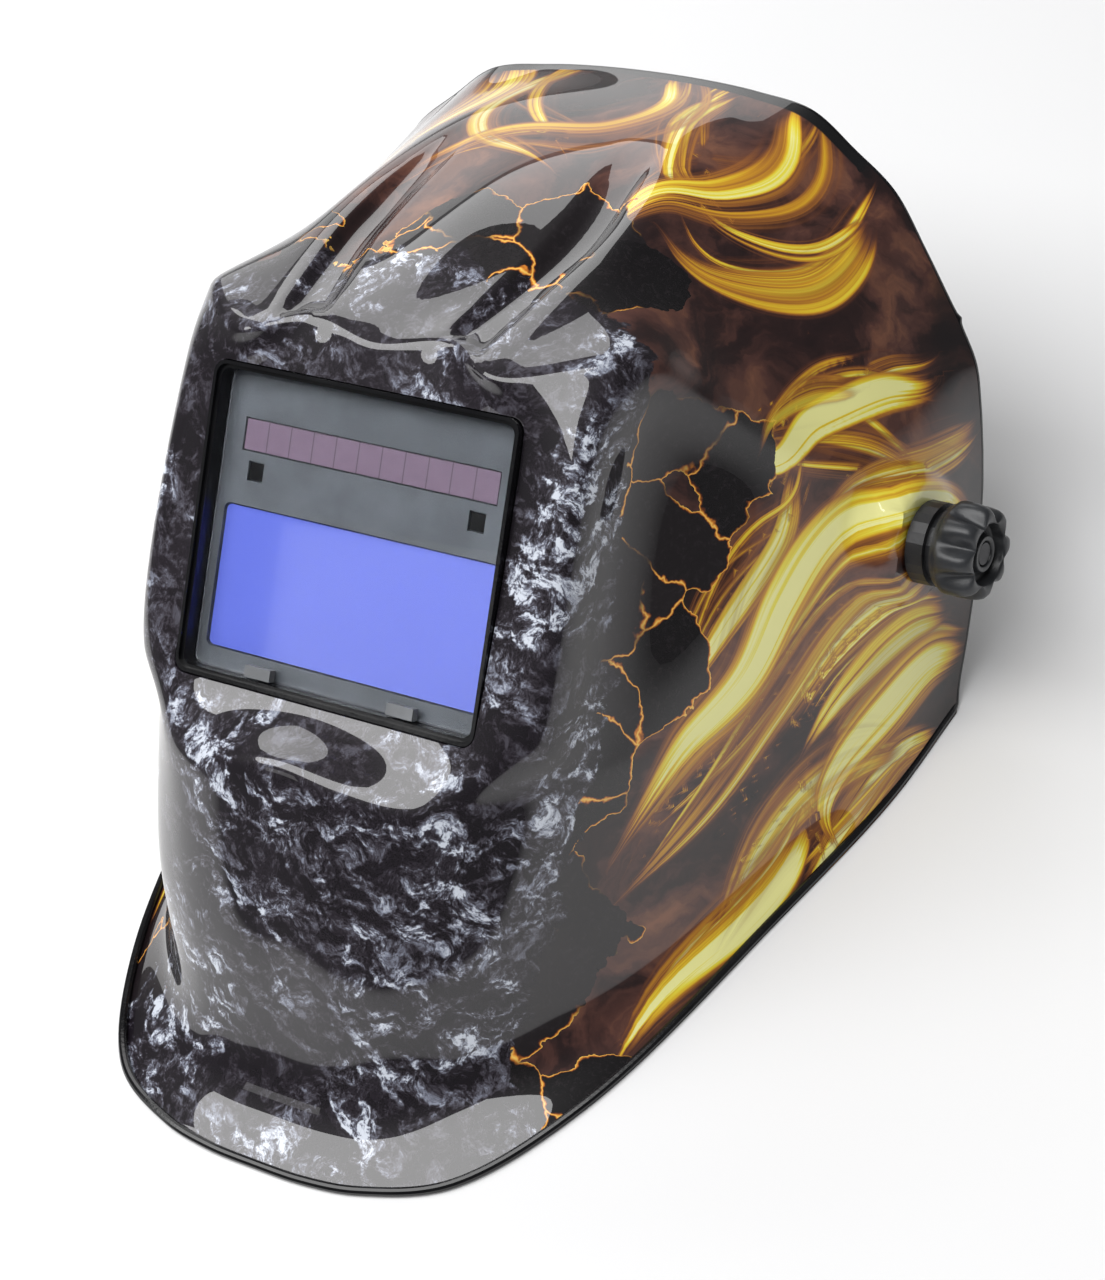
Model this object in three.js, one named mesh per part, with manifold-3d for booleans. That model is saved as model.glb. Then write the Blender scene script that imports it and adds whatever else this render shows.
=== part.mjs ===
// Auto-darkening welding helmet with tilting ratchet headgear.
// Millimetres, +Z up, -Y is the front (lens side), +X is the wearer's left.
// The helmet rests on its lower rim. Geometry is laid out in a "worn" frame
// (x sideways, y backward, z up) and leaned back onto the rim at the end.
import * as THREE from 'three';
import { mergeVertices } from 'three/addons/utils/BufferGeometryUtils.js';
import Module from 'manifold-3d';

const wasm = await Module();
wasm.setup();

// ---------------------------------------------------------------- dimensions
const REST_LEAN_DEG = 31;        // worn frame to table frame, about X
const WORN_ORIGIN_HEIGHT = 117.7; // lens centre above the table
const SHELL_T = 2.5;             // shell wall

const LENS_LEAN_DEG = 14.7;      // lens plane leans back from worn vertical
const CARTRIDGE_W = 110;         // standard filter cartridge width
const CARTRIDGE_H = 90;          // standard filter cartridge height
const CARTRIDGE_V = 6;           // cartridge centre above the lens origin
const OPENING_W = 107;           // opening in the shell
const OPENING_V = [-39.4, 50.6];
const VIEW_W = 97;               // clear filter window
const VIEW_V = [-31.3, 10.2];

const PIVOT = { y: 108, z: 2 };  // tilt axis of the headgear, worn frame
const REST_TILT_DEG = 30;        // headgear swung from worn to parked
const KNOB_R = 14;
const STUD_R = 3.2;
const STOP_TAB = 16.4;            // reach of the tilt stop above the tilt axis

const BAND_HALF_W = 88;          // head band at the temples
const BAND_FRONT = 73;           // forehead band ahead of the pivot
const BAND_T = 1.6;
const CROWN_RISE = 92;           // crown strap above the pivot

const SEG = 28;                  // sides of a round part
const DEG = Math.PI / 180;

// ------------------------------------------------------------------- colours
const paint = (color, roughness = 0.5, extra = {}) =>
  new THREE.MeshStandardMaterial({ color, roughness, metalness: 0, ...extra });
const GLOSS_DARK = () => paint(0x2a2224, 0.15);
const BLACK = () => paint(0x141416, 0.45);
const CHARCOAL = () => paint(0x2c2d30, 0.55);
const GREY = () => paint(0x5a5c60, 0.6);
const STEEL = () => paint(0x9a9ca0, 0.35, { metalness: 0.9 });
const FABRIC = () => paint(0x1d1e22, 0.95);

// -------------------------------------------------------------- solid helpers
function solid(geometry) {
  const bare = new THREE.BufferGeometry();
  bare.setAttribute('position', geometry.getAttribute('position').clone());
  if (geometry.index) bare.setIndex(geometry.index.clone());
  const welded = mergeVertices(bare, 1e-4);
  const position = welded.getAttribute('position').array;
  const corners = [];
  const index = welded.index.array;
  for (let i = 0; i < index.length; i += 3) {
    const [a, b, c] = [index[i], index[i + 1], index[i + 2]];
    if (a !== b && b !== c && a !== c) corners.push(a, b, c);
  }
  return new wasm.Manifold(new wasm.Mesh({
    numProp: 3,
    vertProperties: new Float32Array(position),
    triVerts: new Uint32Array(corners),
  }));
}

function geometryOf(body) {
  const mesh = body.getMesh();
  const geometry = new THREE.BufferGeometry();
  const xyz = new Float32Array(mesh.numVert * 3);
  for (let i = 0; i < mesh.numVert; i++) {
    for (let k = 0; k < 3; k++) xyz[3 * i + k] = mesh.vertProperties[i * mesh.numProp + k];
  }
  geometry.setAttribute('position', new THREE.BufferAttribute(xyz, 3));
  geometry.setIndex(Array.from(mesh.triVerts));
  return geometry;
}

const box = (x, y, z) => solid(
  new THREE.BoxGeometry(x[1] - x[0], y[1] - y[0], z[1] - z[0])
    .translate((x[0] + x[1]) / 2, (y[0] + y[1]) / 2, (z[0] + z[1]) / 2));

const AXIS_ROTATION = { x: [0, 0, -Math.PI / 2], y: [0, 0, 0], z: [Math.PI / 2, 0, 0] };
function rod(axis, centre, from, to, radius, segments = SEG, endRadius = radius) {
  const length = Math.abs(to - from);
  const geometry = new THREE.CylinderGeometry(endRadius, radius, length, segments);
  geometry.rotateX(AXIS_ROTATION[axis][0]).rotateZ(AXIS_ROTATION[axis][2]);
  const middle = (from + to) / 2;
  const place = { x: [middle, ...centre], y: [centre[0], middle, centre[1]], z: [...centre, middle] };
  return solid(geometry.translate(...place[axis]));
}

function roundedOutline(w, h, r, cu = 0, cv = 0) {
  const outline = new THREE.Shape();
  const [x, y] = [w / 2, h / 2];
  const corners = [[x - r, y - r, 0], [r - x, y - r, 90], [r - x, r - y, 180], [x - r, r - y, 270]];
  corners.forEach(([px, py, start]) =>
    outline.absarc(cu + px, cv + py, r, start * DEG, (start + 90) * DEG, false));
  return outline;
}

const slab = (outline, n, curveSegments = 3) => solid(
  new THREE.ExtrudeGeometry(outline, { depth: n[1] - n[0], bevelEnabled: false, curveSegments })
    .translate(0, 0, n[0]));

const cut = (body, ...tools) => tools.reduce((rest, tool) => rest.subtract(tool), body);
const join = (body, ...more) => more.reduce((sum, piece) => sum.add(piece), body);

// ---------------------------------------------------------------- placements
const rotationX = (degrees) => new THREE.Matrix4().makeRotationX(degrees * DEG);
const shift = (x, y, z) => new THREE.Matrix4().makeTranslation(x, y, z);
const WORN = new THREE.Matrix4();
// lens frame: X sideways, Y up the lens, Z out of the lens
const LENS = rotationX(90 - LENS_LEAN_DEG);
// headgear frame: X sideways, Y backward, Z up, origin on the tilt axis
const HEAD = shift(0, PIVOT.y, PIVOT.z).multiply(rotationX(REST_TILT_DEG - LENS_LEAN_DEG));
const REST = shift(0, 0, WORN_ORIGIN_HEIGHT).multiply(rotationX(-REST_LEAN_DEG));

const part = new THREE.Group();
part.name = 'welding_helmet';
function place(name, body, material, frame = WORN) {
  const geometry = geometryOf(body);
  geometry.applyMatrix4(REST.clone().multiply(frame));
  const mesh = new THREE.Mesh(geometry.toNonIndexed(), material);
  mesh.geometry.computeVertexNormals();
  mesh.name = name;
  part.add(mesh);
}

// --------------------------------------------------------------------- shell
// Each row runs from the centre line round to the rear edge: centre, brow
// crease, lobe, front corner, behind the corner, cheek, temple, rear edge.
const SHELL_ROWS = [
  { at: 'crown edge', points: [[0, 146, 115.5], [22, 145.7, 115], [38, 145, 113.8],
    [57.3, 143.5, 110.8], [72, 143.3, 101], [86, 143, 90.5], [97, 143, 74.5], [108, 143, 57]] },
  { at: 'crown', points: [[0, 100, 107.5], [30, 100, 105.5], [44, 100, 102],
    [59, 101, 94], [77, 104, 80], [94, 110, 65], [107, 124, 49], [114.5, 142.5, 45]] },
  { at: 'forehead', points: [[0, 55, 91.5], [34, 56, 84.5], [47, 57, 86],
    [61, 62, 78], [79, 72, 63], [97, 88, 46], [112.5, 116, 33], [117, 142, 33]] },
  { at: 'brow', sharp: true, points: [[0, 11.5, 61.7], [23, 14, 66], [44, 7, 60.3],
    [74, 30, 65.5], [84, 47, 53], [99, 76, 30], [115, 113, 20], [118.3, 142, 20]] },
  { at: 'lens top', points: [[0, 8.4, 49.9], [25, 8.4, 49.9], [52, 8.4, 49.9],
    [71, 15, 48], [76, 36, 42], [98, 68, 14], [115.5, 110, 8], [118.8, 142, 8]] },
  { at: 'lens bottom', points: [[0, -16.3, -35.8], [25, -16.3, -35.8], [52, -16.3, -35.8],
    [71, -9, -34], [76, 12, -33], [98, 61, -16], [115.5, 108, -12], [119, 140.5, -12]] },
  { at: 'lip', sharp: true, points: [[0, -35, -47], [22, -34, -50.5], [45, -27, -55],
    [67, -7, -46], [76, 8, -47], [97, 57, -38], [115, 106, -27], [119, 138.5, -25]] },
  { at: 'chin', points: [[0, -37, -101], [20, -36.3, -101], [40, -31, -99],
    [62, -16, -92], [73, 4, -89], [96, 57, -63], [114, 104, -45], [118.8, 136, -38]] },
  { at: 'brim root', points: [[0, -35, -144.4], [18, -34.6, -144], [34, -32.2, -142.6],
    [51, -24, -138], [74, 0.4, -123], [98.5, 64.7, -84.4], [113, 97.3, -64.8], [118.5, 133.5, -50]] },
  { at: 'rim', points: [[0, -48, -166], [18, -47.6, -165.8], [36, -45, -164.2],
    [61, -35, -158.2], [84.5, -3, -139], [105, 60, -101.2], [116.2, 101, -76.6],
    [119.4, 131.5, -58.3]] },
];
const COLUMN_STEPS = 2;
const ROW_STEPS = 3;
const RIM_TRIM = 0.8;             // sliver cut off to leave one flat resting edge

// Smooth curve through the points; a sharp point keeps its two sides straight.
function smoothThrough(points, steps, sharp = []) {
  const last = points.length - 1;
  const knots = [0];
  for (let i = 1; i <= last; i++) {
    knots.push(knots[i - 1] + Math.sqrt(points[i].distanceTo(points[i - 1])));
  }
  const chord = (i) => points[i + 1].clone().sub(points[i]).divideScalar(knots[i + 1] - knots[i]);
  const slope = (i, side) => {
    if (i === 0) return chord(0);
    if (i === last) return chord(last - 1);
    if (sharp[i]) return side < 0 ? chord(i - 1) : chord(i);
    const before = knots[i] - knots[i - 1];
    const after = knots[i + 1] - knots[i];
    return chord(i - 1).multiplyScalar(after).addScaledVector(chord(i), before)
      .divideScalar(before + after);
  };
  const curve = [];
  for (let i = 0; i < last; i++) {
    const span = knots[i + 1] - knots[i];
    const [leave, arrive] = [slope(i, 1), slope(i + 1, -1)];
    for (let j = 0; j < steps; j++) {
      const s = j / steps;
      curve.push(points[i].clone().multiplyScalar(2 * s ** 3 - 3 * s ** 2 + 1)
        .addScaledVector(leave, (s ** 3 - 2 * s ** 2 + s) * span)
        .addScaledVector(points[i + 1], 3 * s ** 2 - 2 * s ** 3)
        .addScaledVector(arrive, (s ** 3 - s ** 2) * span));
    }
  }
  curve.push(points[last].clone());
  return curve;
}

function shellGrid() {
  const rows = SHELL_ROWS.map(({ points }) => {
    const half = points.map((p) => new THREE.Vector3(...p));
    const mirrored = half.slice(1).reverse().map((p) => new THREE.Vector3(-p.x, p.y, p.z));
    return smoothThrough([...mirrored, ...half], COLUMN_STEPS);
  });
  const sharp = SHELL_ROWS.map((row) => Boolean(row.sharp));
  return rows[0].map((_, u) => smoothThrough(rows.map((row) => row[u]), ROW_STEPS, sharp));
}

function shellSolid() {
  const outer = shellGrid();
  const [wide, tall] = [outer.length, outer[0].length];
  const at = (u, v) => outer[Math.min(Math.max(u, 0), wide - 1)][Math.min(Math.max(v, 0), tall - 1)];
  const inner = outer.map((column, u) => column.map((p, v) => {
    const across = at(u + 1, v).clone().sub(at(u - 1, v));
    const down = at(u, v + 1).clone().sub(at(u, v - 1));
    return p.clone().addScaledVector(across.cross(down).normalize(), SHELL_T);
  }));
  const xyz = [...outer.flat(), ...inner.flat()].flatMap((p) => [p.x, p.y, p.z]);
  const id = (u, v, layer) => layer * wide * tall + u * tall + v;
  const faces = [];
  const quad = (a, b, c, d) => faces.push(a, b, c, a, c, d);
  for (let u = 0; u < wide - 1; u++) {
    for (let v = 0; v < tall - 1; v++) {
      quad(id(u, v, 0), id(u, v + 1, 0), id(u + 1, v + 1, 0), id(u + 1, v, 0));
      quad(id(u, v, 1), id(u + 1, v, 1), id(u + 1, v + 1, 1), id(u, v + 1, 1));
    }
    quad(id(u, 0, 0), id(u + 1, 0, 0), id(u + 1, 0, 1), id(u, 0, 1));
    quad(id(u, tall - 1, 0), id(u, tall - 1, 1), id(u + 1, tall - 1, 1), id(u + 1, tall - 1, 0));
  }
  for (let v = 0; v < tall - 1; v++) {
    quad(id(0, v, 0), id(0, v, 1), id(0, v + 1, 1), id(0, v + 1, 0));
    quad(id(wide - 1, v, 0), id(wide - 1, v + 1, 0), id(wide - 1, v + 1, 1), id(wide - 1, v, 1));
  }
  const geometry = new THREE.BufferGeometry();
  geometry.setAttribute('position', new THREE.Float32BufferAttribute(xyz, 3));
  geometry.setIndex(faces);
  return solid(geometry);
}

const BOSS_FACE_OUT = 119.6;
const BOSS_FACE_IN = 108.6;
function shell() {
  const axis = [PIVOT.y, PIVOT.z];
  const bosses = [1, -1].map((side) => join(
    rod('x', axis, side * 112, side * BOSS_FACE_OUT, 17),
    rod('x', axis, side * BOSS_FACE_IN, side * 116, 12)));
  const bores = [1, -1].map((side) => rod('x', axis, side * 100, side * 130, STUD_R + 0.8, 20));
  const window = slab(roundedOutline(OPENING_W, OPENING_V[1] - OPENING_V[0], 4, 0,
    (OPENING_V[0] + OPENING_V[1]) / 2), [-12, 30]);
  const opening = solid(geometryOf(window).applyMatrix4(LENS));
  const underTable = solid(geometryOf(box([-200, 200], [-300, 300], [-60, RIM_TRIM]))
    .applyMatrix4(REST.clone().invert()));
  return cut(join(shellSolid(), ...bosses), ...bores, opening, underTable);
}
place('helmet_shell', shell(), GLOSS_DARK());

// --------------------------------------------------- lens stack, lens frame
const outlineV = (halfW, v, r = 2) =>
  roundedOutline(2 * halfW, v[1] - v[0], r, 0, (v[0] + v[1]) / 2);
const CARTRIDGE = [CARTRIDGE_V - CARTRIDGE_H / 2, CARTRIDGE_V + CARTRIDGE_H / 2];
const CASE_FRONT = -1;           // fascia face, along N
const CASE_SPLIT = -6;           // front case meets rear case
const CASE_REAR = -20;
const DIAL_V = 34;
const DIALS = { shade_dial: -32, sensitivity_dial: 0, delay_dial: 32 };
const BUTTON_AT = [17, 20];
const SENSOR_AT = [39, 20.2];
const TAB_X = 25.4;
const LATCH_X = 61.5;

function bezel() {
  const ring = slab(outlineV(53.2, [-39.1, 50.3], 4), [-0.6, 6.2]);
  const flange = slab(outlineV(57.5, [-43, 54.5], 5), [-0.6, 0.6]);
  const rails = [1, -1].map((side) => box([side * 56.6 - 0.9, side * 56.6 + 0.9], [-28, 30], [-20.2, 0]));
  const lugs = [1, -1].map((side) => join(
    box([side * 60.4 - 4, side * 60.4 + 4], [1.5, 10.5], [-5.5, -2.5]),
    rod('z', [side * LATCH_X, 6], -27, -3, 2, 16)));
  const view = slab(outlineV(51.2, [-37, 48.3], 3), [-5, 10]);
  const flare = slab(outlineV(52.2, [-38, 49.3], 3.5), [5, 10]);
  return cut(join(ring, flange, ...rails, ...lugs), view, flare);
}
place('lens_bezel', bezel(), BLACK(), LENS);

[['left', 1], ['right', -1]].forEach(([hand, side]) => {
  const tab = box([side * TAB_X - 4.6, side * TAB_X + 4.6], [-36.6, -33.2], [0.8, 3.2]);
  place(`cover_snap_tab_${hand}`, tab, GREY(), LENS);
});
place('front_cover_lens', slab(outlineV(50.8, [-36.6, 47.9], 2.6), [-0.6, 0.4]),
  paint(0xdfe6ea, 0.05, { transparent: true, opacity: 0.2 }), LENS);

function frontCase() {
  const body = slab(outlineV(CARTRIDGE_W / 2, CARTRIDGE, 3), [CASE_SPLIT, CASE_FRONT]);
  const viewport = slab(outlineV(VIEW_W / 2, VIEW_V, 2), [-10, 5]);
  const strip = box([-44.9, 44.9], [25.6, 35.1], [-3, 0]);
  const sensors = [1, -1].map((side) => box(
    [side * SENSOR_AT[0] - 2.8, side * SENSOR_AT[0] + 2.8],
    [SENSOR_AT[1] - 2.8, SENSOR_AT[1] + 2.8], [-3, 0]));
  return cut(body, viewport, strip, ...sensors);
}
place('filter_front_case', frontCase(), CHARCOAL(), LENS);
place('solar_strip', box([-44.5, 44.5], [26, 34.7], [-2.6, -1.3]), paint(0x5b4550, 0.3), LENS);
[['left', 1], ['right', -1]].forEach(([hand, side]) => {
  const sensor = box([side * SENSOR_AT[0] - 2.4, side * SENSOR_AT[0] + 2.4],
    [SENSOR_AT[1] - 2.4, SENSOR_AT[1] + 2.4], [-2.6, -1.4]);
  place(`arc_sensor_${hand}`, sensor, BLACK(), LENS);
});
place('filter_glass', slab(outlineV(VIEW_W / 2 - 0.4, [VIEW_V[0] + 0.4, VIEW_V[1] - 0.4], 1.8),
  [-5.6, -1.9]), paint(0x6f7ff0, 0.05), LENS);
place('light_shutter', slab(outlineV(VIEW_W / 2 - 0.4, [VIEW_V[0] + 0.4, VIEW_V[1] - 0.4], 1.8),
  [-13, -6.4]), paint(0x31405c, 0.1), LENS);

const DRAWER = { v: [34, 47.4], n: [-17, -9.4] };
function rearCase() {
  const body = slab(outlineV(CARTRIDGE_W / 2, CARTRIDGE, 3), [CASE_REAR, CASE_SPLIT - 0.4]);
  const viewport = slab(outlineV(VIEW_W / 2, VIEW_V, 2), [-30, 0]);
  const ledge = slab(outlineV(51, [-34, 13], 2), [-30, -18.6]);
  const dialBores = Object.values(DIALS).map((x) => rod('z', [x, DIAL_V], -21, -15.5, 2.4, 16));
  const buttonBore = rod('z', BUTTON_AT, -21, -15, 3.4, 20);
  const bay = box([-60, -45.6], [DRAWER.v[0] - 0.4, DRAWER.v[1] + 0.4],
    [DRAWER.n[0] - 0.4, DRAWER.n[1] + 0.4]);
  return cut(body, viewport, ledge, ...dialBores, buttonBore, bay);
}
place('filter_rear_case', rearCase(), BLACK(), LENS);
place('inner_cover_lens', slab(outlineV(50.6, [-33.6, 12.6], 1.8), [-19.9, -19]),
  paint(0xdfe6ea, 0.05, { transparent: true, opacity: 0.2 }), LENS);

function dial(x) {
  const knurl = new THREE.Shape();
  const teeth = 16;
  for (let i = 0; i < 2 * teeth; i++) {
    const radius = i % 2 ? 7.4 : 8;
    const angle = i * Math.PI / teeth;
    const point = [x + radius * Math.cos(angle), DIAL_V + radius * Math.sin(angle)];
    if (i) knurl.lineTo(...point);
    else knurl.moveTo(...point);
  }
  const pointer = box([x - 0.6, x + 0.6], [DIAL_V + 2, DIAL_V + 7], [-25, -23]);
  return cut(join(slab(knurl, [-23.6, -20.4]), rod('z', [x, DIAL_V], -21, -16, 2, 16)), pointer);
}
Object.entries(DIALS).forEach(([name, x]) => place(name, dial(x), GREY(), LENS));
place('test_button', rod('z', BUTTON_AT, -21.6, -16.4, 3, 20), GREY(), LENS);

function drawer() {
  const tray = box([-55.6, -46.2], DRAWER.v, DRAWER.n);
  const well = rod('z', [-51, 40.7], -14.6, -8, 4.3, 20);
  const pull = box([-56.8, -55.6], [37, 44.4], [-16, -10.4]);
  return cut(join(tray, pull), well);
}
place('battery_drawer', drawer(), CHARCOAL(), LENS);
place('battery_cell', rod('z', [-51, 40.7], -14.2, -11.2, 3.9, 20), STEEL(), LENS);

place('cartridge_retainer', cut(
  slab(outlineV(57.5, [-41, 53], 5), [-22.8, -20.6]),
  slab(outlineV(51.6, [-35, 47.5], 4), [-30, -10])), BLACK(), LENS);
[['left', 1], ['right', -1]].forEach(([hand, side]) => {
  const arm = roundedOutline(11, 6.4, 3.1, side * (LATCH_X - 2.4), 6);
  const latch = cut(slab(arm, [-25.6, -23.2]), rod('z', [side * LATCH_X, 6], -30, -20, 2.4, 16));
  place(`retainer_latch_${hand}`, latch, GREY(), LENS);
});

// ------------------------------------------------------------ tilt hardware
function lobedOutline(radius, dip, lobes) {
  const outline = new THREE.Shape();
  const steps = lobes * 4;
  for (let i = 0; i < steps; i++) {
    const angle = i * 2 * Math.PI / steps;
    const r = radius - dip * [0, 0.15, 1, 0.15][i % 4];
    const point = [r * Math.cos(angle), r * Math.sin(angle)];
    if (i) outline.lineTo(...point);
    else outline.moveTo(...point);
  }
  return outline;
}

// Grips are drawn along +Z from their back face, then turned onto their axle.
function tiltKnob() {
  const grip = join(
    slab(lobedOutline(KNOB_R - 1.6, 1.6, 8), [0, 2]),
    slab(lobedOutline(KNOB_R, 2.4, 8), [1.6, 10.4]),
    slab(lobedOutline(KNOB_R - 1.6, 1.6, 8), [10, 13]));
  const dish = cut(rod('z', [0, 0], 8.6, 20, 8.6, 24), rod('z', [0, 0], 0, 11.6, 5.2, 20));
  return cut(grip, dish, rod('z', [0, 0], -5, 20, STUD_R + 0.4, 16));
}
const onTiltAxis = (side, x) => shift(0, PIVOT.y, PIVOT.z)
  .multiply(new THREE.Matrix4().makeRotationY(side * Math.PI / 2)).multiply(shift(0, 0, x));

function sideArm(side) {
  const x = [BAND_HALF_W + 0.4, BAND_HALF_W + 3.6].map((v) => side * v).sort((a, b) => a - b);
  const hub = rod('x', [0, 0], x[0], x[1], 12.5, 24);
  const tail = box(x, [-30, 0], [-7, 7]);
  const slot = box([x[0] - 1, x[1] + 1], [-26, -15], [-2, 2]);
  return cut(join(hub, tail), slot, rod('x', [0, 0], x[0] - 1, x[1] + 1, STUD_R + 0.4, 16));
}
function stopPlate(side) {
  const x = [103.8, 106.3].map((v) => side * v).sort((a, b) => a - b);
  const body = join(rod('x', [0, 0], x[0], x[1], 10.5, 24), box(x, [-4, 4], [0, STOP_TAB]));
  return cut(body, rod('x', [0, 0], x[0] - 1, x[1] + 1, STUD_R + 0.4, 16));
}
const washer = (side, from, to, radius) => cut(
  rod('x', [0, 0], side * from, side * to, radius, 24),
  rod('x', [0, 0], side * (from - 1), side * (to + 1), STUD_R + 0.4, 16));

[['left', 1], ['right', -1]].forEach(([hand, side]) => {
  const ring = join(washer(side, BOSS_FACE_OUT + 0.4, 125.4, 12), washer(side, 125, 127, 10.2));
  place(`spacer_ring_${hand}`, ring, BLACK(), shift(0, PIVOT.y, PIVOT.z));
  place(`tilt_knob_${hand}`, tiltKnob(), CHARCOAL(), onTiltAxis(side, 127.4));
  const stud = join(rod('x', [0, 0], side * 82.4, side * 85.4, 6.2, 20),
    rod('x', [0, 0], side * 85, side * 138.6, STUD_R, 20));
  place(`pivot_stud_${hand}`, stud, STEEL(), HEAD);
  place(`friction_washer_${hand}`, washer(side, 106.7, BOSS_FACE_IN - 0.4, 11), GREY(), HEAD);
  place(`tilt_stop_plate_${hand}`, stopPlate(side), BLACK(), HEAD);
  place(`pivot_sleeve_${hand}`, washer(side, BAND_HALF_W + 4, 103.4, 7.5), BLACK(), HEAD);
  place(`side_arm_${hand}`, sideArm(side), CHARCOAL(), HEAD);
});

// ------------------------------------------------- headgear, headgear frame
// A strap of the given width swept along a curve; "wide" is the width axis.
function strap(points, thickness, width, wide = 'z') {
  const count = points.length;
  const xyz = [];
  points.forEach(([a, b], i) => {
    const [a0, b0] = points[Math.max(i - 1, 0)];
    const [a1, b1] = points[Math.min(i + 1, count - 1)];
    const length = Math.hypot(a1 - a0, b1 - b0);
    const turn = (b1 - b0) * a - (a1 - a0) * b < 0 ? -1 : 1;
    const normal = [turn * (b1 - b0) / length, -turn * (a1 - a0) / length];
    [[0, 0], [0, 1], [1, 1], [1, 0]].forEach(([out, up]) => {
      const c = [a + normal[0] * thickness * out, b + normal[1] * thickness * out];
      const w = width[up];
      xyz.push(...(wide === 'z' ? [c[0], c[1], w] : [c[0], w, c[1]]));
    });
  });
  const faces = [0, 1, 2, 0, 2, 3];
  for (let i = 0; i < count - 1; i++) {
    for (let k = 0; k < 4; k++) {
      const [p, q] = [4 * i + k, 4 * i + (k + 1) % 4];
      faces.push(p, q + 4, q, p, p + 4, q + 4);
    }
  }
  const last = 4 * (count - 1);
  faces.push(last, last + 2, last + 1, last, last + 3, last + 2);
  if (wide === 'y') faces.reverse();
  const geometry = new THREE.BufferGeometry();
  geometry.setAttribute('position', new THREE.Float32BufferAttribute(xyz, 3));
  geometry.setIndex(faces);
  const body = solid(geometry);
  return body.volume() < 0 ? solid(geometry.setIndex(faces.reverse())) : body;
}

const RACK_Y = [94.7, 96.3];
const RACK_Z = [3.4, 9.4];
const HOUSING_X = 27;
const bandFront = (inset, from, to, steps) => Array.from({ length: steps + 1 }, (_, i) => {
  const t = (from + (to - from) * i / steps) * DEG;
  return [(BAND_HALF_W - BAND_T - inset) * Math.cos(t), -(BAND_FRONT - BAND_T - inset) * Math.sin(t)];
});
const bandSide = new THREE.CatmullRomCurve3(
  [[50, 94], [63, 90.5], [75, 79], [83, 58], [86, 34], [BAND_HALF_W - BAND_T, 12]]
    .map(([x, y]) => new THREE.Vector3(x, y, 0)), false, 'centripetal')
  .getPoints(18).map(({ x, y }) => [x, y]);
const mirrored = (points) => points.map(([x, y]) => [-x, y]).reverse();

function headband() {
  const path = [...bandSide, ...bandFront(0, 0, 180, 22), ...mirrored(bandSide)];
  const band = strap(path, BAND_T, [-12, 12]);
  const sleeves = [1, -1].map((side) =>
    box([side * 51 - 11, side * 51 + 11], [92.6, 98.4], [-11.5, 11.5]));
  const slots = box([-61, 61], [RACK_Y[0] - 0.5, RACK_Y[1] + 0.5], [-9.9, 9.9]);
  const bores = [1, -1].flatMap((side) => [
    rod('x', [0, 0], side * 80, side * 95, STUD_R + 0.4, 16),
    rod('x', [28, 0], side * 80, side * 95, 2.9, 16)]);
  return cut(join(band, ...sleeves), slots, ...bores);
}
place('headband', headband(), BLACK(), HEAD);
place('brow_sweatband', strap(bandFront(8.4, 38, 142, 14), 8, [-15, 15]), FABRIC(), HEAD);

// Racks overlap at the pinion, one above it and one below it.
function rack(side) {
  const z = side > 0 ? [-RACK_Z[1], -RACK_Z[0]] : RACK_Z;
  const x = side > 0 ? [-12, 59] : [-59, 12];
  const bar = box(x, RACK_Y, z);
  const pitch = 3;
  const toothed = side > 0 ? z[1] : z[0];
  const notches = Array.from({ length: 11 }, (_, i) => {
    const at = side * (-8 + i * pitch);
    return box([at - 0.75, at + 0.75], [90, 100], [toothed - 1.1, toothed + 1.1]);
  });
  return cut(bar, ...notches);
}
place('strap_rack_left', rack(1), GREY(), HEAD);
place('strap_rack_right', rack(-1), GREY(), HEAD);

function housing() {
  const shellBox = box([-HOUSING_X, HOUSING_X], [92, 100.4], [-15, 15]);
  const cavity = box([-40, 40], [RACK_Y[0] - 0.5, RACK_Y[1] + 0.5], [-9.9, 9.9]);
  return cut(shellBox, cavity, rod('y', [0, 0], 90, 110, 3.4, 20));
}
place('ratchet_housing', housing(), BLACK(), HEAD);
place('ratchet_pinion', rod('y', [0, 0], 92.4, 101, 3, 16), STEEL(), HEAD);
function ratchetKnob() {
  const grip = join(slab(lobedOutline(15, 1.6, 10), [0, 8]), slab(lobedOutline(13, 1.2, 10), [7.6, 10.4]));
  return cut(grip, rod('z', [0, 0], 9, 20, 6, 20));
}
place('ratchet_knob', ratchetKnob(), CHARCOAL(),
  HEAD.clone().multiply(shift(0, 101.4, 0)).multiply(rotationX(-90)));
place('nape_pad', slab(roundedOutline(74, 27, 10), [0, 7]), FABRIC(),
  HEAD.clone().multiply(shift(0, 84.6, 0)).multiply(rotationX(-90)));

const STRAP_Y = [20, 36];
function crownStrap(side) {
  const lift = side > 0 ? 0 : BAND_T + 0.4;
  const spring = 14;
  const rise = CROWN_RISE - 5 - spring - lift;
  const arc = Array.from({ length: 22 }, (_, i) => {
    const t = i / 21 * 102 * DEG;
    return [side * (BAND_HALF_W + 0.4) * Math.cos(t), spring + rise * Math.sin(t)];
  });
  const path = [[side * (BAND_HALF_W + 0.4), -9], ...arc];
  const body = strap(side > 0 ? path.reverse() : path, BAND_T, STRAP_Y, 'y');
  return cut(body, rod('x', [28, 0], side * 80, side * 95, 2.9, 16),
    rod('z', [0, 28], 70, 100, 2.5, 12));
}
place('crown_strap_left', crownStrap(1), BLACK(), HEAD);
place('crown_strap_right', crownStrap(-1), BLACK(), HEAD);
place('crown_pin', rod('z', [0, 28], 83, 89.6, 2.1, 12), GREY(), HEAD);
[['left', 1], ['right', -1]].forEach(([hand, side]) => {
  place(`strap_rivet_${hand}`, rod('x', [28, 0], side * 84, side * 91, 2.5, 16), STEEL(), HEAD);
});

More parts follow.
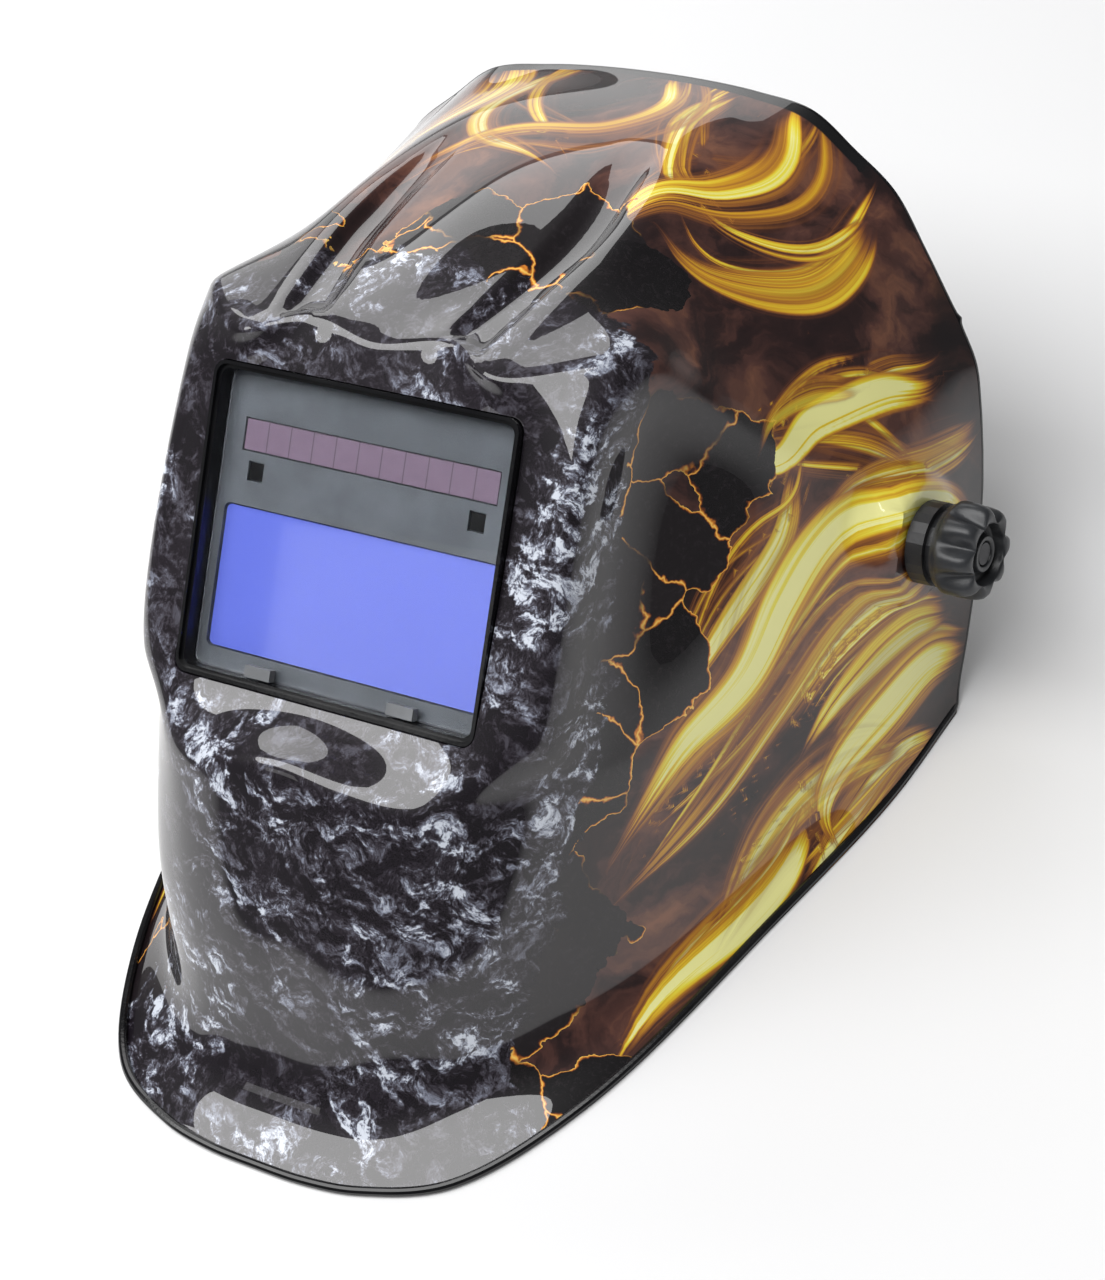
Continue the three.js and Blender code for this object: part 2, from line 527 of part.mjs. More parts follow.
part.updateMatrixWorld(true);
const extent = new THREE.Box3().setFromObject(part);
const centring = shift(0, -(extent.min.y + extent.max.y) / 2, -extent.min.z);
part.children.forEach((mesh) => mesh.geometry.applyMatrix4(centring));

export default part;
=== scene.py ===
import math

import bpy
import numpy as np
from mathutils import Matrix, Vector
from mathutils.kdtree import KDTree


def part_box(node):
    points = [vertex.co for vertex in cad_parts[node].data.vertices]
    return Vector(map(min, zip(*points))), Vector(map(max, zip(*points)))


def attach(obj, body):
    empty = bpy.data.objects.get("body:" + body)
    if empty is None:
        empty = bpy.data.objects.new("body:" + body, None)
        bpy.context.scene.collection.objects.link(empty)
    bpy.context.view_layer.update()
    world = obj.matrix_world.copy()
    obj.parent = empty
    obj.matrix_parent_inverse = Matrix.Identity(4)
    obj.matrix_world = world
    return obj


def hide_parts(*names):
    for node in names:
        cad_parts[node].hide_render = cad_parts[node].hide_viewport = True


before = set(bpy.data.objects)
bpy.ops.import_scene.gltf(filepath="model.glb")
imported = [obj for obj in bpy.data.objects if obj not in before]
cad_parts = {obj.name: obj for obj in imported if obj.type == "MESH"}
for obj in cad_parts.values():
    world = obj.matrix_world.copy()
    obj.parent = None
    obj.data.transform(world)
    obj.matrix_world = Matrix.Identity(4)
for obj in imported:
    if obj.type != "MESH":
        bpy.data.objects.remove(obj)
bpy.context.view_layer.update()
scene = bpy.context.scene
MM = 0.001

# ----------------------------------------------------------------- layout
# The shell is laid out in the wearer's own frame (millimetres, z up the face)
# and leaned back onto its rim, as the CAD does.
REST_LEAN = math.radians(-31)
LENS_LEAN = math.radians(14.7)
PARKED_TILT = math.radians(30)  # the headgear's turn from where it is worn
PIVOT = (108, 2)                # y and z of the tilt axis
SHELL_T = 2.5


def rotation_x(angle):
    return Matrix.Rotation(angle, 4, "X")


def worn_to_row():
    ring_low, ring_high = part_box("spacer_ring_left")
    centre = [(a + b) / 2 for a, b in zip(ring_low, ring_high)]
    turned = rotation_x(REST_LEAN) @ Vector((0, PIVOT[0] * MM, PIVOT[1] * MM))
    shift = Vector((0, centre[1] - turned.y, centre[2] - turned.z))
    return Matrix.Translation(shift) @ rotation_x(REST_LEAN)


WORN = worn_to_row()
LENS = WORN @ rotation_x(math.pi / 2 - LENS_LEAN)
TILT_AXIS = WORN @ Matrix.Translation((0, PIVOT[0] * MM, PIVOT[1] * MM))
HEAD = TILT_AXIS @ rotation_x(PARKED_TILT - LENS_LEAN)
WORN_TURN = np.array(WORN.to_3x3())
WORN_SHIFT = np.array(WORN.translation)


def to_row(points_mm):
    return np.asarray(points_mm) * MM @ WORN_TURN.T + WORN_SHIFT


def to_worn(points):
    return (np.asarray(points) - WORN_SHIFT) @ WORN_TURN / MM


# ---------------------------------------------------------- shell surface
# Control points of one half, middle to side, one row each for the crown's edge,
# crown, forehead, brow, lens top, lens bottom, lip, chin, brim root and rim.
SHELL_ROWS = np.array([
    [[0, 146, 115.5], [22, 145.7, 115], [38, 145, 113.8], [57.3, 143.5, 110.8],
     [72, 143.3, 101], [86, 143, 90.5], [97, 143, 74.5], [108, 143, 57]],
    [[0, 100, 107.5], [30, 100, 105.5], [44, 100, 102], [59, 101, 94],
     [77, 104, 80], [94, 110, 65], [107, 124, 49], [114.5, 142.5, 45]],
    [[0, 55, 91.5], [34, 56, 84.5], [47, 57, 86], [61, 62, 78],
     [79, 72, 63], [97, 88, 46], [112.5, 116, 33], [117, 142, 33]],
    [[0, 11.5, 61.7], [23, 14, 66], [44, 7, 60.3], [74, 30, 65.5],
     [84, 47, 53], [99, 76, 30], [115, 113, 20], [118.3, 142, 20]],
    [[0, 8.4, 49.9], [25, 8.4, 49.9], [52, 8.4, 49.9], [71, 15, 48],
     [76, 36, 42], [98, 68, 14], [115.5, 110, 8], [118.8, 142, 8]],
    [[0, -16.3, -35.8], [25, -16.3, -35.8], [52, -16.3, -35.8], [71, -9, -34],
     [76, 12, -33], [98, 61, -16], [115.5, 108, -12], [119, 140.5, -12]],
    [[0, -35, -47], [22, -34, -50.5], [45, -27, -55], [67, -7, -46],
     [76, 8, -47], [97, 57, -38], [115, 106, -27], [119, 138.5, -25]],
    [[0, -37, -101], [20, -36.3, -101], [40, -31, -99], [62, -16, -92],
     [73, 4, -89], [96, 57, -63], [114, 104, -45], [118.8, 136, -38]],
    [[0, -35, -144.4], [18, -34.6, -144], [34, -32.2, -142.6], [51, -24, -138],
     [74, 0.4, -123], [98.5, 64.7, -84.4], [113, 97.3, -64.8], [118.5, 133.5, -50]],
    [[0, -48, -166], [18, -47.6, -165.8], [36, -45, -164.2], [61, -35, -158.2],
     [84.5, -3, -139], [105, 60, -101.2], [116.2, 101, -76.6], [119.4, 131.5, -58.3]],
], float)
SHARP_ROWS = {3, 6}             # brow and lip are creases
STEPS = 14                      # fine points from one control point to the next
FILLET_PASSES = 2
COLUMNS = SHELL_ROWS.shape[1] - 1


def smooth_through(points, steps, sharp=()):
    """Centripetal curve through the points; a sharp point stays a corner."""
    last = len(points) - 1
    knots = np.concatenate([[0], np.cumsum(np.sqrt(np.linalg.norm(np.diff(points, axis=0), axis=1)))])
    chords = np.diff(points, axis=0) / np.diff(knots)[:, None]

    def slope(i, side):
        if i in (0, last):
            return chords[min(i, last - 1)]
        if i in sharp:
            return chords[i - 1] if side < 0 else chords[i]
        before, after = knots[i] - knots[i - 1], knots[i + 1] - knots[i]
        return (chords[i - 1] * after + chords[i] * before) / (before + after)

    s = (np.arange(steps) / steps)[:, None]
    curve = []
    for i in range(last):
        span = knots[i + 1] - knots[i]
        curve.append((2 * s**3 - 3 * s**2 + 1) * points[i] + (s**3 - 2 * s**2 + s) * span * slope(i, 1)
                     + (3 * s**2 - 2 * s**3) * points[i + 1] + (s**3 - s**2) * span * slope(i + 1, -1))
    return np.vstack(curve + [points[last:]])


def shell_grid():
    """Points of the outer surface, [across, down, xyz], worn frame."""
    rows = []
    for row in SHELL_ROWS:
        mirrored = row[:0:-1] * [-1, 1, 1]
        rows.append(smooth_through(np.vstack([mirrored, row]), STEPS))
    rows = np.array(rows)
    grid = np.array([smooth_through(rows[:, u], STEPS, SHARP_ROWS) for u in range(rows.shape[1])])
    for _ in range(FILLET_PASSES):
        for axis in (0, 1):
            inner = [slice(None)] * 3
            inner[axis] = slice(1, -1)
            near, far = list(inner), list(inner)
            near[axis], far[axis] = slice(0, -2), slice(2, None)
            beside = grid[tuple(near)] + grid[tuple(far)]
            grid[tuple(inner)] = 0.5 * grid[tuple(inner)] + 0.25 * beside
    return grid


def grid_normals(grid):
    across = np.gradient(grid, axis=0)
    down = np.gradient(grid, axis=1)
    normal = np.cross(down, across)
    return normal / np.linalg.norm(normal, axis=2, keepdims=True)


def smoothstep(low, high, value):
    t = np.clip((value - low) / (high - low), 0, 1)
    return t * t * (3 - 2 * t)


CHANNEL_DEPTH = 3.0
BOSS_FLAT, BOSS_FOOT = 15.5, 22  # radii of the boss's flat top and of its foot
BOSS_X = 119.4


def sculpt(grid):
    """Brow channels either side of the middle, and the flat bosses round the tilt axis."""
    column = np.abs(np.arange(grid.shape[0]) / STEPS - COLUMNS)[:, None]
    row = (np.arange(grid.shape[1]) / STEPS)[None, :]
    left, right = 0.72 + 0.09 * row, 1.12 + 0.11 * row
    inside = smoothstep(left - 0.16, left + 0.04, column)
    inside = inside * (1 - smoothstep(right - 0.05, right + 0.22, column))
    reach = smoothstep(0.9, 2.2, row) * (1 - smoothstep(2.86, 3.0, row))
    grid = grid - grid_normals(grid) * (CHANNEL_DEPTH * inside * reach)[..., None]
    away = np.hypot(grid[..., 1] - PIVOT[0], grid[..., 2] - PIVOT[1])
    on_side = np.abs(grid[..., 0]) > 80
    near = (1 - smoothstep(BOSS_FLAT, BOSS_FOOT, away)) * on_side
    grid[..., 0] += near * (np.sign(grid[..., 0]) * BOSS_X - grid[..., 0])
    return grid


GRID = sculpt(shell_grid())
GRID_NORMAL = grid_normals(GRID)


# ------------------------------------------------------------ mesh helpers
def new_object(name, vertices, faces, materials=()):
    mesh = bpy.data.meshes.new(name)
    mesh.from_pydata([tuple(v) for v in vertices], [], faces)
    mesh.update()
    obj = bpy.data.objects.new(name, mesh)
    scene.collection.objects.link(obj)
    for material in materials:
        mesh.materials.append(material)
    return obj


def shade(obj, angle=35):
    mesh = obj.data
    mesh.shade_smooth()
    mesh.set_sharp_from_angle(angle=math.radians(angle))


def apply_modifiers(obj):
    depsgraph = bpy.context.evaluated_depsgraph_get()
    mesh = bpy.data.meshes.new_from_object(obj.evaluated_get(depsgraph))
    obj.modifiers.clear()
    obj.data = mesh


def cut_with(obj, tool, operation="DIFFERENCE"):
    """Cuts the tool out of the object, or joins it on, and throws the tool away."""
    modifier = obj.modifiers.new("cut", "BOOLEAN")
    modifier.operation = operation
    modifier.solver = "MANIFOLD"
    modifier.object = tool
    apply_modifiers(obj)
    mesh = tool.data
    bpy.data.objects.remove(tool)
    bpy.data.meshes.remove(mesh)


def soften(obj, width, segments=3):
    """Rounds the corners; the width is in millimetres."""
    bevel = obj.modifiers.new("soften", "BEVEL")
    bevel.width = width * MM
    bevel.segments = segments
    bevel.limit_method = "ANGLE"
    bevel.angle_limit = math.radians(50)
    apply_modifiers(obj)


def grid_faces(wide, tall, offset, flip):
    faces = []
    for u in range(wide - 1):
        for v in range(tall - 1):
            a = offset + u * tall + v
            quad = (a, a + 1, a + tall + 1, a + tall)
            faces.append(quad[::-1] if flip else quad)
    return faces


def rounded_outline(half_w, low, high, radius, per_corner=6):
    points = []
    corners = [(half_w - radius, high - radius, 0), (radius - half_w, high - radius, 90),
               (radius - half_w, low + radius, 180), (half_w - radius, low + radius, 270)]
    for cx, cy, start in corners:
        for i in range(per_corner + 1):
            angle = math.radians(start + 90 * i / per_corner)
            points.append((cx + radius * math.cos(angle), cy + radius * math.sin(angle)))
    return points


def circle(radius, cx=0.0, cy=0.0, count=24):
    turns = np.linspace(0, 2 * math.pi, count, endpoint=False)
    return [(cx + radius * math.cos(t), cy + radius * math.sin(t)) for t in turns]


def prism(name, outline, low, high, matrix, materials=()):
    n = len(outline)
    vertices = [matrix @ Vector((x * MM, y * MM, z * MM)) for z in (low, high) for x, y in outline]
    faces = [tuple(range(n - 1, -1, -1)), tuple(range(n, 2 * n))]
    faces += [(i, (i + 1) % n, n + (i + 1) % n, n + i) for i in range(n)]
    return new_object(name, vertices, faces, materials)


def lathe(name, profile, matrix, materials, lobes=0, segments=96):
    """A closed ring turned about local Z; each profile point is (radius, height, depth of the flutes)."""
    count = len(profile)
    vertices = []
    for k in range(segments):
        angle = 2 * math.pi * k / segments
        flute = (0.5 - 0.5 * math.cos(lobes * angle)) ** 1.6
        for radius, height, depth in profile:
            r = radius - depth * flute
            point = Vector((r * math.cos(angle) * MM, r * math.sin(angle) * MM, height * MM))
            vertices.append(matrix @ point)
    faces = []
    for k in range(segments):
        here, there = k * count, (k + 1) % segments * count
        faces += [(here + i, there + i, there + (i + 1) % count, here + (i + 1) % count)
                  for i in range(count)]
    return new_object(name, vertices, faces, materials)


def tube(name, path, radius, materials, sides=10):
    """A closed loop of round section through the points, in metres."""
    path = np.asarray(path)
    ahead = np.roll(path, -1, axis=0) - np.roll(path, 1, axis=0)
    ahead /= np.linalg.norm(ahead, axis=1, keepdims=True)
    out = path - path.mean(axis=0)
    out -= (out * ahead).sum(axis=1, keepdims=True) * ahead
    out /= np.linalg.norm(out, axis=1, keepdims=True)
    side = np.cross(ahead, out)
    vertices = []
    for k in range(sides):
        angle = 2 * math.pi * k / sides
        vertices.append(path + radius * (math.cos(angle) * out + math.sin(angle) * side))
    vertices = np.array(vertices).transpose(1, 0, 2).reshape(-1, 3)
    count = len(path)
    faces = []
    for i in range(count):
        here, there = i * sides, (i + 1) % count * sides
        faces += [(here + k, here + (k + 1) % sides, there + (k + 1) % sides, there + k)
                  for k in range(sides)]
    return new_object(name, vertices, faces, materials)


# --------------------------------------------------------------- shader kit
class Shader:
    """A few short calls for building a node material."""

    def __init__(self, name, **settings):
        self.material = bpy.data.materials.new(name)
        self.material.use_nodes = True
        self.tree = self.material.node_tree
        self.shader = self.tree.nodes["Principled BSDF"]
        for socket, value in settings.items():
            self.shader.inputs[socket.replace("_", " ")].default_value = value

    def node(self, kind, inputs=None, **settings):
        node = self.tree.nodes.new(kind)
        for key, value in settings.items():
            setattr(node, key, value)
        for key, value in (inputs or {}).items():
            self.feed(node.inputs[key], value)
        return node

    def feed(self, socket, value):
        if isinstance(value, bpy.types.NodeSocket):
            self.tree.links.new(value, socket)
        elif value is not None:
            socket.default_value = value

    def attribute(self, name, output="Fac"):
        return self.node("ShaderNodeAttribute", attribute_name=name).outputs[output]

    def place(self):
        return self.node("ShaderNodeTexCoord").outputs["Object"]

    def math(self, operation, a, b=None, clamp=False):
        node = self.node("ShaderNodeMath", operation=operation, use_clamp=clamp)
        for socket, value in zip(node.inputs, (a, b)):
            self.feed(socket, value)
        return node.outputs[0]

    def remap(self, value, low, high, to_low=0.0, to_high=1.0):
        node = self.node("ShaderNodeMapRange", {0: value, 1: low, 2: high, 3: to_low, 4: to_high},
                         clamp=True, interpolation_type="SMOOTHSTEP")
        return node.outputs[0]

    def noise(self, where, scale, detail=4.0, roughness=0.5, distortion=0.0, output=0):
        return self.node("ShaderNodeTexNoise", {"Vector": where, "Scale": scale, "Detail": detail,
                                                "Roughness": roughness, "Distortion": distortion}
                         ).outputs[output]

    def voronoi(self, where, scale, feature="F1", output="Distance"):
        return self.node("ShaderNodeTexVoronoi", {"Vector": where, "Scale": scale}, feature=feature
                         ).outputs[output]

    def vector(self, operation, a, b=None, scale=None):
        node = self.node("ShaderNodeVectorMath", operation=operation)
        self.feed(node.inputs[0], a)
        self.feed(node.inputs[1], b)
        if scale is not None:
            self.feed(node.inputs["Scale"], scale)
        return node.outputs[0]

    def combine(self, x, y, z):
        return self.node("ShaderNodeCombineXYZ", {0: x, 1: y, 2: z}).outputs[0]

    def ramp(self, value, stops):
        node = self.node("ShaderNodeValToRGB", {0: value})
        elements = node.color_ramp.elements
        while len(elements) < len(stops):
            elements.new(0.5)
        for element, (position, colour) in zip(elements, stops):
            element.position = position
            element.color = (*colour, 1.0)
        return node.outputs[0]

    def mix(self, amount, a, b, blend="MIX"):
        node = self.node("ShaderNodeMix", data_type="RGBA", blend_type=blend)
        self.feed(node.inputs[0], amount)
        for socket, value in ((node.inputs[6], a), (node.inputs[7], b)):
            self.feed(socket, (*value, 1.0) if isinstance(value, tuple) else value)
        return node.outputs[2]

    def bump(self, height, strength, distance=0.0005):
        node = self.node("ShaderNodeBump", {"Strength": strength, "Distance": distance, "Height": height})
        self.feed(self.shader.inputs["Normal"], node.outputs[0])

    def colour(self, value):
        self.feed(self.shader.inputs["Base Color"], value)

    def roughness(self, value):
        self.feed(self.shader.inputs["Roughness"], value)


def plastic(name, dark, light, rough, grain=900, grain_depth=0.25):
    """Moulded plastic: faint mottling, fine grain and slightly polished wear."""
    s = Shader(name, Specular_IOR_Level=0.45)
    where = s.place()
    mottling = s.noise(where, 60, 5)
    s.colour(s.mix(s.remap(mottling, 0.35, 0.7), dark, light))
    s.roughness(s.remap(s.noise(where, 25, 3), 0.3, 0.75, rough - 0.07, rough + 0.08))
    s.bump(s.noise(where, grain, 2), grain_depth, 0.00015)
    return s.material


BLACK_PLASTIC = plastic("black_plastic", (0.012, 0.012, 0.013), (0.024, 0.024, 0.027), 0.42)
KNOB_PLASTIC = plastic("knob_plastic", (0.018, 0.019, 0.021), (0.034, 0.036, 0.040), 0.38, 1400)
GREY_PLASTIC = plastic("grey_plastic", (0.16, 0.166, 0.175), (0.22, 0.228, 0.24), 0.45)
FASCIA_PLASTIC = plastic("fascia_plastic", (0.115, 0.123, 0.140), (0.150, 0.160, 0.182), 0.5, 1500, 0.4)
INSIDE_PLASTIC = plastic("shell_inside", (0.016, 0.016, 0.017), (0.030, 0.030, 0.033), 0.5, 300, 0.5)
TRIM_PLASTIC = plastic("trim_black", (0.004, 0.004, 0.005), (0.008, 0.008, 0.009), 0.16)


def steel():
    s = Shader("steel", Metallic=1.0)
    where = s.place()
    scratch = s.noise(s.vector("MULTIPLY", where, (1, 14, 14)), 220, 4)
    s.colour(s.mix(scratch, (0.42, 0.42, 0.43), (0.68, 0.68, 0.69)))
    s.roughness(s.remap(scratch, 0.2, 0.8, 0.22, 0.42))
    return s.material


STEEL = steel()


def dark_thread():
    """Blackened steel stud with a fine screw thread."""
    s = Shader("dark_thread", Metallic=0.8)
    where = s.place()
    s.colour(s.mix(s.noise(where, 400, 3), (0.020, 0.020, 0.022), (0.050, 0.050, 0.054)))
    s.roughness(s.remap(s.noise(where, 150, 3), 0.3, 0.7, 0.3, 0.5))
    thread = s.node("ShaderNodeTexWave", {"Vector": where, "Scale": 160.0}, bands_direction="X")
    s.bump(thread.outputs["Fac"], 0.6, 0.0004)
    return s.material


DARK_THREAD = dark_thread()


# ------------------------------------------------------------ shell artwork
# Flame ribbons: centre line as (column, row) on the shell's own grid, widest
# half width in mm, and the layer that carries it.
SIDE_RIBBONS = [
    ([(6.2, 1.2), (5.5, 1.5), (4.95, 2.3), (4.75, 3.2), (4.2, 4.0)], 14, 0),
    ([(6.95, 4.5), (6.3, 3.7), (5.55, 3.9), (5.05, 4.7), (4.85, 5.5), (4.5, 6.2), (4.2, 6.7)], 19, 0),
    ([(7.0, 7.0), (6.4, 6.7), (5.8, 7.1), (5.45, 7.8), (5.5, 8.9)], 13, 0),
    ([(6.3, 7.9), (5.6, 7.35), (5.0, 7.7), (4.6, 8.6)], 12, 1),
    ([(6.1, 4.9), (5.5, 5.3), (5.15, 6.1), (4.75, 6.8), (4.2, 7.1)], 10, 1),
    ([(6.9, 2.4), (6.2, 2.6), (5.5, 3.1), (5.2, 4.1)], 9, 1),
    ([(5.3, 1.7), (4.85, 2.0), (4.6, 2.7), (4.65, 3.3)], 8, 1),
    ([(6.6, 5.9), (6.1, 5.8), (5.6, 6.3), (5.3, 7.0)], 8, 2),
    ([(4.95, 3.2), (5.0, 4.2), (4.6, 5.0), (4.35, 5.6)], 8, 2),
    ([(6.7, 8.6), (6.2, 8.0), (5.7, 8.3), (5.1, 8.95)], 8, 2),
    ([(5.3, 7.9), (4.95, 8.3), (4.55, 8.35), (4.1, 8.8)], 9, 0),
    ([(6.1, 3.1), (5.5, 2.5), (4.95, 2.6), (4.4, 3.3)], 9, 2),
]
CROWN_RIBBONS = [
    ([(2.7, -0.1), (3.15, 0.45), (2.85, 1.05), (2.0, 1.45), (1.3, 2.0)], 13, 0),
    ([(0.4, -0.1), (0.95, 0.4), (0.5, 0.95), (-0.5, 1.2), (-1.5, 1.7)], 13, 0),
    ([(-2.7, -0.1), (-2.1, 0.5), (-2.6, 1.05), (-3.6, 1.5)], 12, 0),
    ([(4.6, 0.4), (4.2, 1.2), (3.4, 1.7), (2.3, 1.65)], 11, 1),
    ([(-0.9, 0.0), (-1.3, 0.6), (-0.8, 1.05), (0.4, 1.5)], 10, 1),
    ([(-4.4, 0.6), (-3.7, 1.1), (-2.8, 1.15), (-2.0, 1.6)], 9, 1),
    ([(1.7, 0.1), (1.3, 0.65), (1.9, 1.1), (3.1, 1.2)], 9, 2),
]
LAYERS = 6
FIRST_WISP_LAYER = 3
WISP_SEED = 11


def wisps(ribbons, count):
    """Thin strands that leave each ribbon at its root and rejoin or overshoot it."""
    random = np.random.default_rng(WISP_SEED)
    thin = []
    for line, half, _ in ribbons:
        for number in range(count):
            root, bulge, tip = random.uniform(-0.45, 0.45, 3)
            lean = random.uniform(-0.25, 0.25)
            steps = np.linspace(0, 1, len(line))
            away = root * (1 - steps) + bulge * np.sin(np.pi * steps) + tip * steps
            strand = [(u + lean * shift, v + shift) for (u, v), shift in zip(line, away)]
            thin.append((strand, half * random.uniform(0.35, 0.6), FIRST_WISP_LAYER + number))
    return thin


SIDE_RIBBONS += wisps(SIDE_RIBBONS, 3)
CROWN_RIBBONS += wisps(CROWN_RIBBONS, 2)
RIBBONS = ([([(side * u, v) for u, v in line], half, layer) for line, half, layer in SIDE_RIBBONS
            for side in (1, -1)] + CROWN_RIBBONS)


def grid_point(u, v):
    """Point on the fine grid for a column from -7 to 7 and a row from 0 to 9."""
    short_of_end = 1.001
    gu = min(max((u + COLUMNS) * STEPS, 0), GRID.shape[0] - short_of_end)
    gv = min(max(v * STEPS, 0), GRID.shape[1] - short_of_end)
    i, j = int(gu), int(gv)
    a, b = gu - i, gv - j
    return ((1 - a) * (1 - b) * GRID[i, j] + a * (1 - b) * GRID[i + 1, j]
            + (1 - a) * b * GRID[i, j + 1] + a * b * GRID[i + 1, j + 1])


def ribbon_spine(line):
    chart = np.array([(u, v, 0.0) for u, v in line])
    fine = smooth_through(chart, 12)
    return np.array([grid_point(u, v) for u, v, _ in fine])


def ribbon_fields(points, normals, spine, half):
    """Distance along a ribbon, place across it (1 is its edge), and its heat from root to tip."""
    starts, ends = spine[:-1], spine[1:]
    run = ends - starts
    length = np.linalg.norm(run, axis=1)
    begun = np.concatenate([[0], np.cumsum(length)])[:-1]
    offset = points[:, None, :] - starts[None]
    t = np.clip(np.einsum("pij,ij->pi", offset, run) / length**2, 0, 1)
    gap = offset - t[..., None] * run[None]
    distance = np.linalg.norm(gap, axis=2)
    nearest = distance.argmin(axis=1)
    pick = np.arange(len(points)), nearest
    along = begun[nearest] + t[pick] * length[nearest]
    side = np.sign(np.einsum("pi,pi->p", np.cross(run[nearest], gap[pick]), normals))
    done = along / length.sum()
    width = half * (0.45 + 0.55 * np.sin(np.pi * done**0.7)) * (1 - 0.75 * done**3)
    across = side * distance[pick] / width
    heat = smoothstep(-0.05, 0.18, done) * (1 - 0.8 * smoothstep(0.75, 1.0, done))
    return along, np.clip(across, -4, 4), heat


def surface_chart(points):
    """Column, row and outward normal of the shell's grid at points on the shell."""
    coarse = GRID[::2, ::2].reshape(-1, 3)
    coarse_normal = GRID_NORMAL[::2, ::2].reshape(-1, 3)
    chart = np.stack(np.meshgrid(np.arange(0, GRID.shape[0], 2) / STEPS - COLUMNS,
                                 np.arange(0, GRID.shape[1], 2) / STEPS, indexing="ij"), -1).reshape(-1, 2)
    tree = KDTree(len(coarse))
    for i, p in enumerate(coarse):
        tree.insert(p, i)
    tree.balance()
    nearest = np.array([[match[1] for match in tree.find_n(p, 4)] for p in points])
    weight = 1 / (np.linalg.norm(points[:, None] - coarse[nearest], axis=2) + 0.05)**2
    weight /= weight.sum(axis=1, keepdims=True)
    return (np.einsum("pk,pkj->pj", weight, chart[nearest]),
            np.einsum("pk,pkj->pj", weight, coarse_normal[nearest]))


def store(mesh, name, kind, values):
    layer = mesh.attributes.new(name, kind, "POINT")
    layer.data.foreach_set("value" if kind == "FLOAT" else "vector", values.astype(np.float32).ravel())


RIBBON_SHIFT = 400              # keeps the strands of two ribbons from matching


def paint_fields(obj):
    """Stores the artwork's coordinates on a mesh that lies on the shell."""
    mesh = obj.data
    count = len(mesh.vertices)
    flat = np.empty(count * 3, np.float32)
    mesh.vertices.foreach_get("co", flat)
    points = to_worn(flat.reshape(-1, 3))
    chart, normals = surface_chart(points)
    for number in range(LAYERS):
        fields = np.array([ribbon_fields(points, normals, ribbon_spine(line), half)
                           for line, half, layer in RIBBONS if layer == number])
        fields[:, 0] += RIBBON_SHIFT * np.arange(len(fields))[:, None]
        order = np.argsort(np.abs(fields[:, 1]), axis=0)
        chosen = np.take_along_axis(fields, order[:1, None].repeat(3, axis=1), axis=0)[0]
        rival = np.take_along_axis(fields[:, 1], order[1:2], axis=0)[0]
        # fade out on the border between two ribbons of one layer
        chosen[2] *= smoothstep(0.35, 1.1, np.abs(rival) - np.abs(chosen[1]))
        chosen[2] *= 1 - smoothstep(1.2, 2.1, np.abs(chosen[1]))
        store(mesh, f"flame_{number}", "FLOAT_VECTOR", chosen.T)
    store(mesh, "worn_mm", "FLOAT_VECTOR", points)
    store(mesh, "row", "FLOAT", chart[:, 1])
    store(mesh, "column", "FLOAT", np.abs(chart[:, 0]))


FLAME_STOPS = [(0.0, (0.060, 0.020, 0.014)), (0.16, (0.17, 0.052, 0.022)), (0.32, (0.38, 0.135, 0.024)),
               (0.48, (0.64, 0.31, 0.020)), (0.64, (0.82, 0.56, 0.030)), (0.82, (0.88, 0.77, 0.065)),
               (1.0, (0.95, 0.92, 0.38))]


SPINE_WIDTH = 0.55
EULER = 2.718


def flame_layer(s, name, seed, gain):
    """(colour, cover) of one layer of ribbons: a bright spine that frays into silky strands."""
    along, across, heat = s.node("ShaderNodeSeparateXYZ", {0: s.attribute(name, "Vector")}).outputs
    where = s.attribute("worn_mm", "Vector")
    sway = s.math("MULTIPLY", s.math("SUBTRACT", s.noise(where, 0.016, 0), 0.5), 1.6)
    across = s.math("ADD", across, sway)

    def threads(stretch, fineness, offset, detail):
        lengthwise = s.math("MULTIPLY", along, stretch)
        crosswise = s.math("MULTIPLY", across, fineness)
        return s.noise(s.combine(lengthwise, crosswise, seed + offset), 1.0, detail)

    locks = s.remap(threads(0.006, 1.1, 0.0, 1.0), 0.36, 0.60)
    strands = s.remap(threads(0.006, 3.6, 4.0, 2.0), 0.30, 0.68)
    hairs = s.remap(threads(0.008, 15.0, 9.0, 2.0), 0.30, 0.70)
    bundle = s.math("ADD", s.math("MULTIPLY", strands, 0.70), s.math("MULTIPLY", hairs, 0.30))
    reach = s.math("DIVIDE", across, SPINE_WIDTH)
    spine = s.math("POWER", EULER, s.math("MULTIPLY", s.math("MULTIPLY", reach, reach), -1.0))
    halo = s.math("POWER", EULER, s.math("MULTIPLY", s.math("MULTIPLY", across, across), -0.75))
    body = s.math("MULTIPLY", spine, s.math("ADD", 0.28, s.math("MULTIPLY", bundle, 0.80)))
    body = s.math("MULTIPLY", body, s.math("ADD", 0.45, s.math("MULTIPLY", locks, 0.55)))
    sheet = s.math("MULTIPLY", halo, s.math("ADD", 0.08, s.math("MULTIPLY", bundle, 0.55)))
    body = s.math("ADD", body, s.math("MULTIPLY", sheet, locks))
    body = s.math("MULTIPLY", body, s.math("MULTIPLY", heat, gain), clamp=True)
    return s.ramp(body, FLAME_STOPS), s.remap(body, 0.02, 0.46)


def coal_height(s, where):
    """Lumps, chips on them and grit over all, in worn millimetres."""
    lumps = s.voronoi(where, 0.050)
    chips = s.voronoi(where, 0.13)
    grit = s.noise(where, 0.34, 9, 0.70)
    return s.math("ADD", s.math("ADD", lumps, s.math("MULTIPLY", chips, 0.7)), grit)


